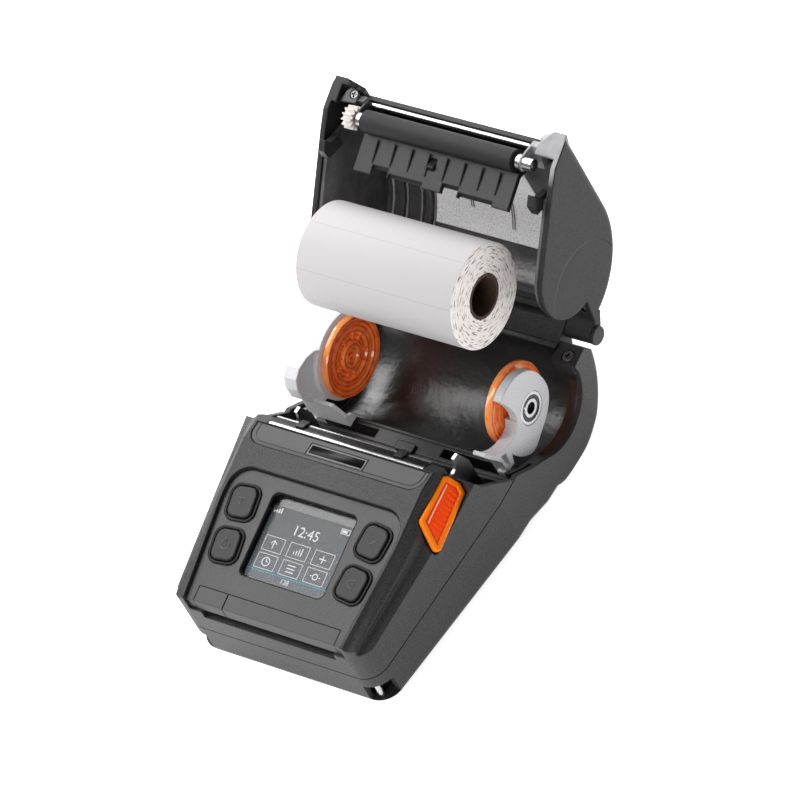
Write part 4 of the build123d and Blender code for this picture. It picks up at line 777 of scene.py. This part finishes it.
# %% Orange discs
disc_inner = 39.7         # x of the discs' inner faces
disc_ribs = 9
disc_profile = [
    (1.4, 1.2), (1.4, 3.2), (0.5, 3.6), (0.4, 6.0), (1.9, 6.5), (2.1, 9.7), (0.9, 10.3),
    (0.7, 12.3), (1.4, 12.8), (1.4, 13.7), (0.5, 14.2), (0.35, 16.2), (0.0, 16.7), (0.05, 17.3),
    (0.5, 17.6), (2.6, 17.6), (3.2, 17.1), (3.3, 14.6), (2.7, 14.2), (2.7, 12.9), (3.3, 12.5),
    (3.3, 5.0), (4.6, 4.5), (4.8, 3.0), (7.2, 3.0), (7.2, 1.2), (1.4, 1.2),
]
about_spool = plane_matrix((0, *spool), (1, 0, 0), (0, 1, 0))
for side, name in ((-1, "left"), (1, "right")):
    parts = [spun([(side * (disc_inner + depth), radius) for depth, radius in disc_profile])]
    for i in range(disc_ribs):
        rib = bmesh.new()
        bmesh.ops.create_cube(rib, size=1)
        bmesh.ops.scale(rib, vec=(1.3, 0.7, 3.4), verts=rib.verts)
        bmesh.ops.bevel(rib, geom=rib.edges[:], offset=0.15, segments=2, profile=0.5,
                        affect="EDGES", material=-1)
        shift(rib, rib.verts, (side * 41.2, 0, 8.1 + 0.4 * (i % 3)))
        bmesh.ops.rotate(rib, verts=rib.verts, cent=(0, 0, 0),
                         matrix=Matrix.Rotation(radians(40 * i + 9 * (i % 2)), 3, "X"))
        parts.append(rib)
    piece(f"orange_disc_{name}", join(*parts), about_spool, f"{name}_disc", orange,
          [f"disc_{name}"])

# %% [markdown]
# ## Bearing
#
# The right disc's axle runs in a ball bearing: a steel outer ring, a black seal with a bright
# inner ring, and a dark bore.

# %% Bearing
bearing_rings = [
    (45.2, 2.0), (45.2, 7.1), (49.75, 7.1), (49.9, 6.9), (49.9, 5.7), (49.5, 5.5), (49.5, 4.1),
    (49.85, 3.9), (49.85, 2.6), (49.6, 2.4), (47.9, 2.3), (47.9, 0.1),
]
bearing = spun(bearing_rings, steps=96)
bore_radius = 2.5
seal_radii = (4.0, 5.6)
for face in bearing.faces:
    radius_here = face.calc_center_median().yz.length
    dark = radius_here < bore_radius or seal_radii[0] < radius_here < seal_radii[1]
    face.material_index = 1 if dark else 0
piece("right_bearing", bearing, about_spool, "right_holder", [bright_steel, gloss_black],
      ["bearing_right"])

# %% [markdown]
# ## Label roll
#
# The roll's edges are a little round and its ends are not quite flat, because the web's turns
# never lie quite flush. One closed profile is spun about the roll's axis.

# %% Label roll
roll_profile = [
    (-38.9, 9.6), (-38.75, 12.5), (-38.88, 16.0), (-38.8, 19.4), (-38.9, 21.5), (-38.7, 21.85),
    (-38.3, 21.9), (38.3, 21.9), (38.7, 21.85), (38.9, 21.5), (38.8, 19.4), (38.88, 16.0),
    (38.75, 12.5), (38.9, 9.6), (-38.9, 9.6),
]
about_roll = plane_matrix((0, *roll_axis), (1, 0, 0), (0, 1, 0))
piece("paper_roll", spun(roll_profile, steps=180), about_roll, "roll", paper, ["label_roll"])

# %% [markdown]
# ## Keys
#
# A glossy black collar lies round each rubber key, and each key carries a raised mark: feed,
# power, enter and back. The marks are ribbons 0.14 mm high.

# %% Keys
tilt = atan(0.253)
panel = plane_matrix((0, -46.5, 47.8), (1, 0, 0), (0, cos(tilt), sin(tilt)))
key_size = (11.6, 13.2)
key_collar = 1.25
key_rest = 0.4            # the collar starts this far outside the key
key_lean = 6              # degrees by which the keys at each side lean to the middle
key_top = 1.28
collar_outer = [side + 2 * (key_rest + key_collar) for side in key_size]
power_ring = arc((0, 0), 1.9, 125, 415, 16)
marks = {
    "feed": ((-33.0, 11.6), [[(-1.9, 1.6), (1.9, 1.6)], [(-1.3, -0.2), (0, -1.7), (1.3, -0.2)],
                            [(0, 1.4), (0, -1.6)]]),
    "power": ((-31.7, -7.0), [power_ring, [(0, 0.6), (0, 2.7)]]),
    "enter": ((32.6, 11.6), [[(-2.0, 0.1), (-0.6, -1.5), (2.1, 1.7)]]),
    "back": ((31.9, -7.0), [[(1.5, 1.9), (-1.0, 1.4), (-1.9, 0.0), (-1.0, -1.4), (1.5, -1.9)],
                            [(1.5, 1.0), (1.5, -1.0)]]),
}
collars = []
for key, (spot, lines) in marks.items():
    lean = radians(-key_lean if spot[0] > 0 else key_lean)
    place = Matrix.Translation((*spot, 0)) @ Matrix.Rotation(lean, 4, "Z")
    collar = hoop(collar_outer, 4.9, key_collar, 0.6, 0.2)
    bmesh.ops.transform(collar, matrix=place, verts=collar.verts)
    collars.append(collar)
    mark = join(*[ribbon(line, 0.5, 0.14, key_top) for line in lines])
    piece(f"{key}_mark", mark, panel @ place, key, gloss_black)
piece("key_collars", join(*collars), panel, "base", key_collar_black)

# %% [markdown]
# ## Screen
#
# Behind the glass the lit area is a thin sheet with a cool gradient, at the bottom of a well
# whose walls are lined with black, painted shade for the shadow in the recess. On it lie a clock,
# two rows of plain tiles with plain signs, a battery, signal bars and a line over a counter.
# Signs are ribbons, so that they stay sharp at any distance.

# %% Screen
screen_blue = Finish("screen_light", (0.01, 0.012, 0.014), 0.4)
screen_reach = (-0.0615, -0.031)   # y of the screen's lower and upper edge
down_screen = screen_blue.clip(screen_blue.along(1), *screen_reach)
pixels = screen_blue.noise(0.0009, 2.0)
lit = screen_blue.mix(down_screen + 0.03 * pixels, (0.075, 0.095, 0.115), (0.038, 0.039, 0.041))
screen_blue.set("Emission Color", lit)
screen_blue.set("Emission Strength", 1.0)
sign_white = Finish("screen_signs", (0.3, 0.3, 0.3), 0.5)
sign_white.set("Emission Color", sign_white.mix(sign_white.noise(0.002), (0.38, 0.39, 0.4),
                                                (0.6, 0.6, 0.61)))
sign_white.set("Emission Strength", 0.9)
sign_cyan = Finish("screen_line", (0.01, 0.1, 0.14), 0.5)
sign_cyan.set("Emission Color", sign_cyan.mix(sign_cyan.noise(0.002), (0.02, 0.2, 0.3),
                                              (0.03, 0.28, 0.4)))
sign_cyan.set("Emission Strength", 0.9)

# %% Screen sheet and well
screen_middle = -0.9
face_low = -3.195
screen_sheet = plate((40.8, 30.9), 0.3, 0.03, centre=(screen_middle, 0.1), low=face_low)
piece("screen_face", screen_sheet, panel, "base", screen_blue)
# painted shade: a black lining over the well's walls, which lie in shadow
well_painted_shade = hoop((42.5, 36.9), 3.0, 0.55, 2.75)
shift(well_painted_shade, well_painted_shade.verts, (0, 1.6, -3.18))
piece("screen_well_painted_shade", well_painted_shade, panel, "base", key_collar_black)

# %% Signs on the screen
sign_low = -3.16
sign_high = 0.03
tile_first = (-13.3, -0.2)         # centre of the first tile
tile_step = (12.4, 7.6)            # to the next column and the next row
tile_size = (9.6, 6.2)
tile_columns = 3


def tile_centre(column, row):
    return tile_first[0] + tile_step[0] * column, tile_first[1] - tile_step[1] * row


def box_line(centre, size, width=0.22):
    """A square outline of ribbons."""
    x, y = centre
    w, h = size[0] / 2, size[1] / 2
    corners = [(x - w, y - h), (x + w, y - h), (x + w, y + h), (x - w, y + h), (x - w, y - h)]
    return [ribbon([a, b], width, sign_high, sign_low) for a, b in zip(corners, corners[1:])]


signs = []
for column in range(tile_columns):
    for row in range(2):
        signs += box_line(tile_centre(column, row), tile_size)
arrow_up = [[(-1.4, 0.2), (0, 1.7), (1.4, 0.2)], [(0, 1.5), (0, -1.8)]]
bars = [[(x, -1.6), (x, top)] for x, top in ((-1.8, -0.3), (-0.6, 0.4), (0.6, 1.1), (1.8, 1.8))]
plus = [[(-1.7, 0), (1.7, 0)], [(0, -1.7), (0, 1.7)]]
dial = [arc((0, 0), 1.8, 0, 360, 20), [(0, 0), (0, 1.2)], [(0, 0), (0.9, 0)]]
stack = [[(-2, y), (2, y)] for y in (-1.4, 0, 1.4)]
ring = [arc((0, 0), 1.2, 0, 360, 16), [(1.9, 0), (2.6, 0)], [(-2.6, 0), (-1.9, 0)]]
for i, lines in enumerate((arrow_up, bars, plus, dial, stack, ring)):
    x, y = tile_centre(i % tile_columns, i // tile_columns)
    for line in lines:
        signs.append(ribbon([(x + a, y + b) for a, b in line], 0.42, sign_high, sign_low))
for i in range(4):
    x = -19.6 + 1.1 * i
    signs.append(ribbon([(x, 12.6), (x, 13.4 + 0.5 * i)], 0.6, sign_high, sign_low))
signs += box_line((16.2, 13.2), (4.2, 2.0), 0.3)
signs.append(plate((2.6, 1.1), 0.1, sign_high, centre=(15.8, 13.2), low=sign_low))
piece("screen_signs", join(*signs), panel, "base", sign_white, sharp=20)
line = ribbon([(-21.1, -11.9), (19.3, -11.9)], 0.3, sign_high, sign_low)
piece("screen_line", line, panel, "base", sign_cyan)


# %% Clock and counter
letter_depth = 0.015


def numerals(name, text, size, centre):
    """Plain numerals on the screen, made into a mesh."""
    letters = bpy.data.curves.new(name, "FONT")
    letters.body = text
    letters.size = size
    letters.align_x = "CENTER"
    letters.align_y = "CENTER"
    letters.extrude = letter_depth
    holder = bpy.data.objects.new(name, letters)
    data = bpy.data.meshes.new_from_object(holder)
    bpy.data.objects.remove(holder)
    made = bmesh.new()
    made.from_mesh(data)
    bpy.data.meshes.remove(data)
    shift(made, made.verts, (*centre, sign_low + letter_depth))
    piece(name, made, panel, "base", sign_white, sharp=20)


numerals("screen_clock", "12:45", 6.0, (screen_middle, 7.6))
numerals("screen_counter", "128", 2.9, (screen_middle, -13.7))

# %% [markdown]
# ## Tear pad and badge place
#
# A bead runs round the tear pad just inside its edge: a ribbon along two arcs. The badge is a
# rim and a raised face, each a rounded plate with its upper edge rounded, and is left bare.

# %% Tear pad and badge place
pad_top = 58.41
badge_centre = (0, -7.5)
bead_path = [(-41.3, -2.7)] + arc((-36.6, -5.7), 4.7, 180, 270, 12)
bead_path += arc((36.6, -5.7), 4.7, 270, 360, 12) + [(41.3, -2.7)]
tear_plane = plane_matrix((0, 0, pad_top), (1, 0, 0), (0, 1, 0))
piece("tear_pad_bead", ribbon(bead_path, 0.4, 0.14), tear_plane, "base", slate)
badge_rim = plate((28.4, 5.4), 0.5, 0.6, 0.25, badge_centre, -0.46)
piece("badge_rim", badge_rim, tear_plane, "base", badge_grey, ["name_plate"])
badge_face = plate((26.6, 3.8), 0.3, 0.16, 0.06, badge_centre, 0.06)
piece("badge_face", badge_face, tear_plane, "base", key_collar_black)

# %% [markdown]
# ## Inside the cover
#
# The liner's wall curves from the paper guide down to the hinge. A list of points follows that
# curve, and everything here is drawn along it: thin ribs on the left, most of them painted light
# grey as painted highlights, the pale speckled sheet in the middle with its slots, glowing a
# little as painted light, and a skirt that closes the gap to the hinge barrel.

# %% Inside the cover
liner_curve = [
    (121.5, 103.5), (121.7, 94.0), (122.0, 85.3), (122.4, 76.7), (122.2, 71.3), (121.0, 66.0),
    (119.0, 61.0), (116.1, 56.4), (112.5, 52.3), (108.2, 49.0), (103.4, 46.5), (98.4, 44.9),
]
rib_width = 0.7


def side_plane(x):
    """The plane across the printer at x: its own x runs backwards and its y up."""
    return plane_matrix((x, 0, 0), (0, 1, 0), (0, 0, 1))


def inwards(points, distance):
    """Side-view points moved sideways by a distance, off the liner's wall."""
    moved = []
    for i, point in enumerate(points):
        ahead = Vector(points[min(i + 1, len(points) - 1)]) - Vector(points[max(i - 1, 0)])
        ahead.normalize()
        moved.append((point[0] + ahead.y * distance, point[1] - ahead.x * distance))
    return moved


def along_cover(points, half_width, middle_x, thickness):
    """A sheet through side-view points, as wide as stated, thickened inwards."""
    made = bmesh.new()
    bmesh.ops.create_grid(made, x_segments=len(points) - 1, y_segments=1, size=1)
    made.verts.ensure_lookup_table()
    for i, (y, z) in enumerate(points):
        made.verts[i].co = (middle_x - half_width, y, z)
        made.verts[i + len(points)].co = (middle_x + half_width, y, z)
    bmesh.ops.recalc_face_normals(made, faces=made.faces)
    bmesh.ops.solidify(made, geom=made.faces[:], thickness=thickness)
    return made


# %% Ribs, sheet and skirt
# painted highlight: ribs a, c, d and f wear the light grey rib finish
liner_ribs = {  # x, depth and finish
    "a": (-50.5, 1.2, rib_painted_highlight), "b": (-45.5, 1.0, liner_painted_sheen), "c": (-43.8, 0.5, rib_painted_highlight),
    "d": (-36.0, 1.0, rib_painted_highlight), "e": (-30.5, 2.4, liner_painted_sheen), "f": (-29.4, 0.9, rib_painted_highlight),
}
for name, (x, deep, finish) in liner_ribs.items():
    rib = ribbon(inwards(liner_curve, deep / 2), deep, rib_width)
    piece(f"liner_rib_{name}", rib, side_plane(x), "cover", finish)

sheet_curve = inwards(liner_curve[1:9], 1.0)
slot_gap = 1.1
piece("panel_sheet", along_cover(sheet_curve, 27.0, -1.0, 0.5), world_plane, "cover", panel_painted_light,
      ["cover_panel"])
for name, x, run in (("a", -10.0, sheet_curve[2:6]), ("b", 10.5, sheet_curve[3:7])):
    for i, offset in enumerate((0, slot_gap)):
        slot = ribbon(inwards(run, 0.35), 0.3, 0.25)
        piece(f"panel_slot_{name}{i}", slot, side_plane(x + offset), "cover", satin_black)

skirt_curve = [(99.5, 45.4), (97.9, 43.4), (96.4, 41.1), (95.5, 39.3), (94.9, 37.9), (94.6, 36.5)]
piece("liner_skirt", along_cover(skirt_curve, 43.5, 0, 0.35), world_plane, "cover", liner_painted_sheen)
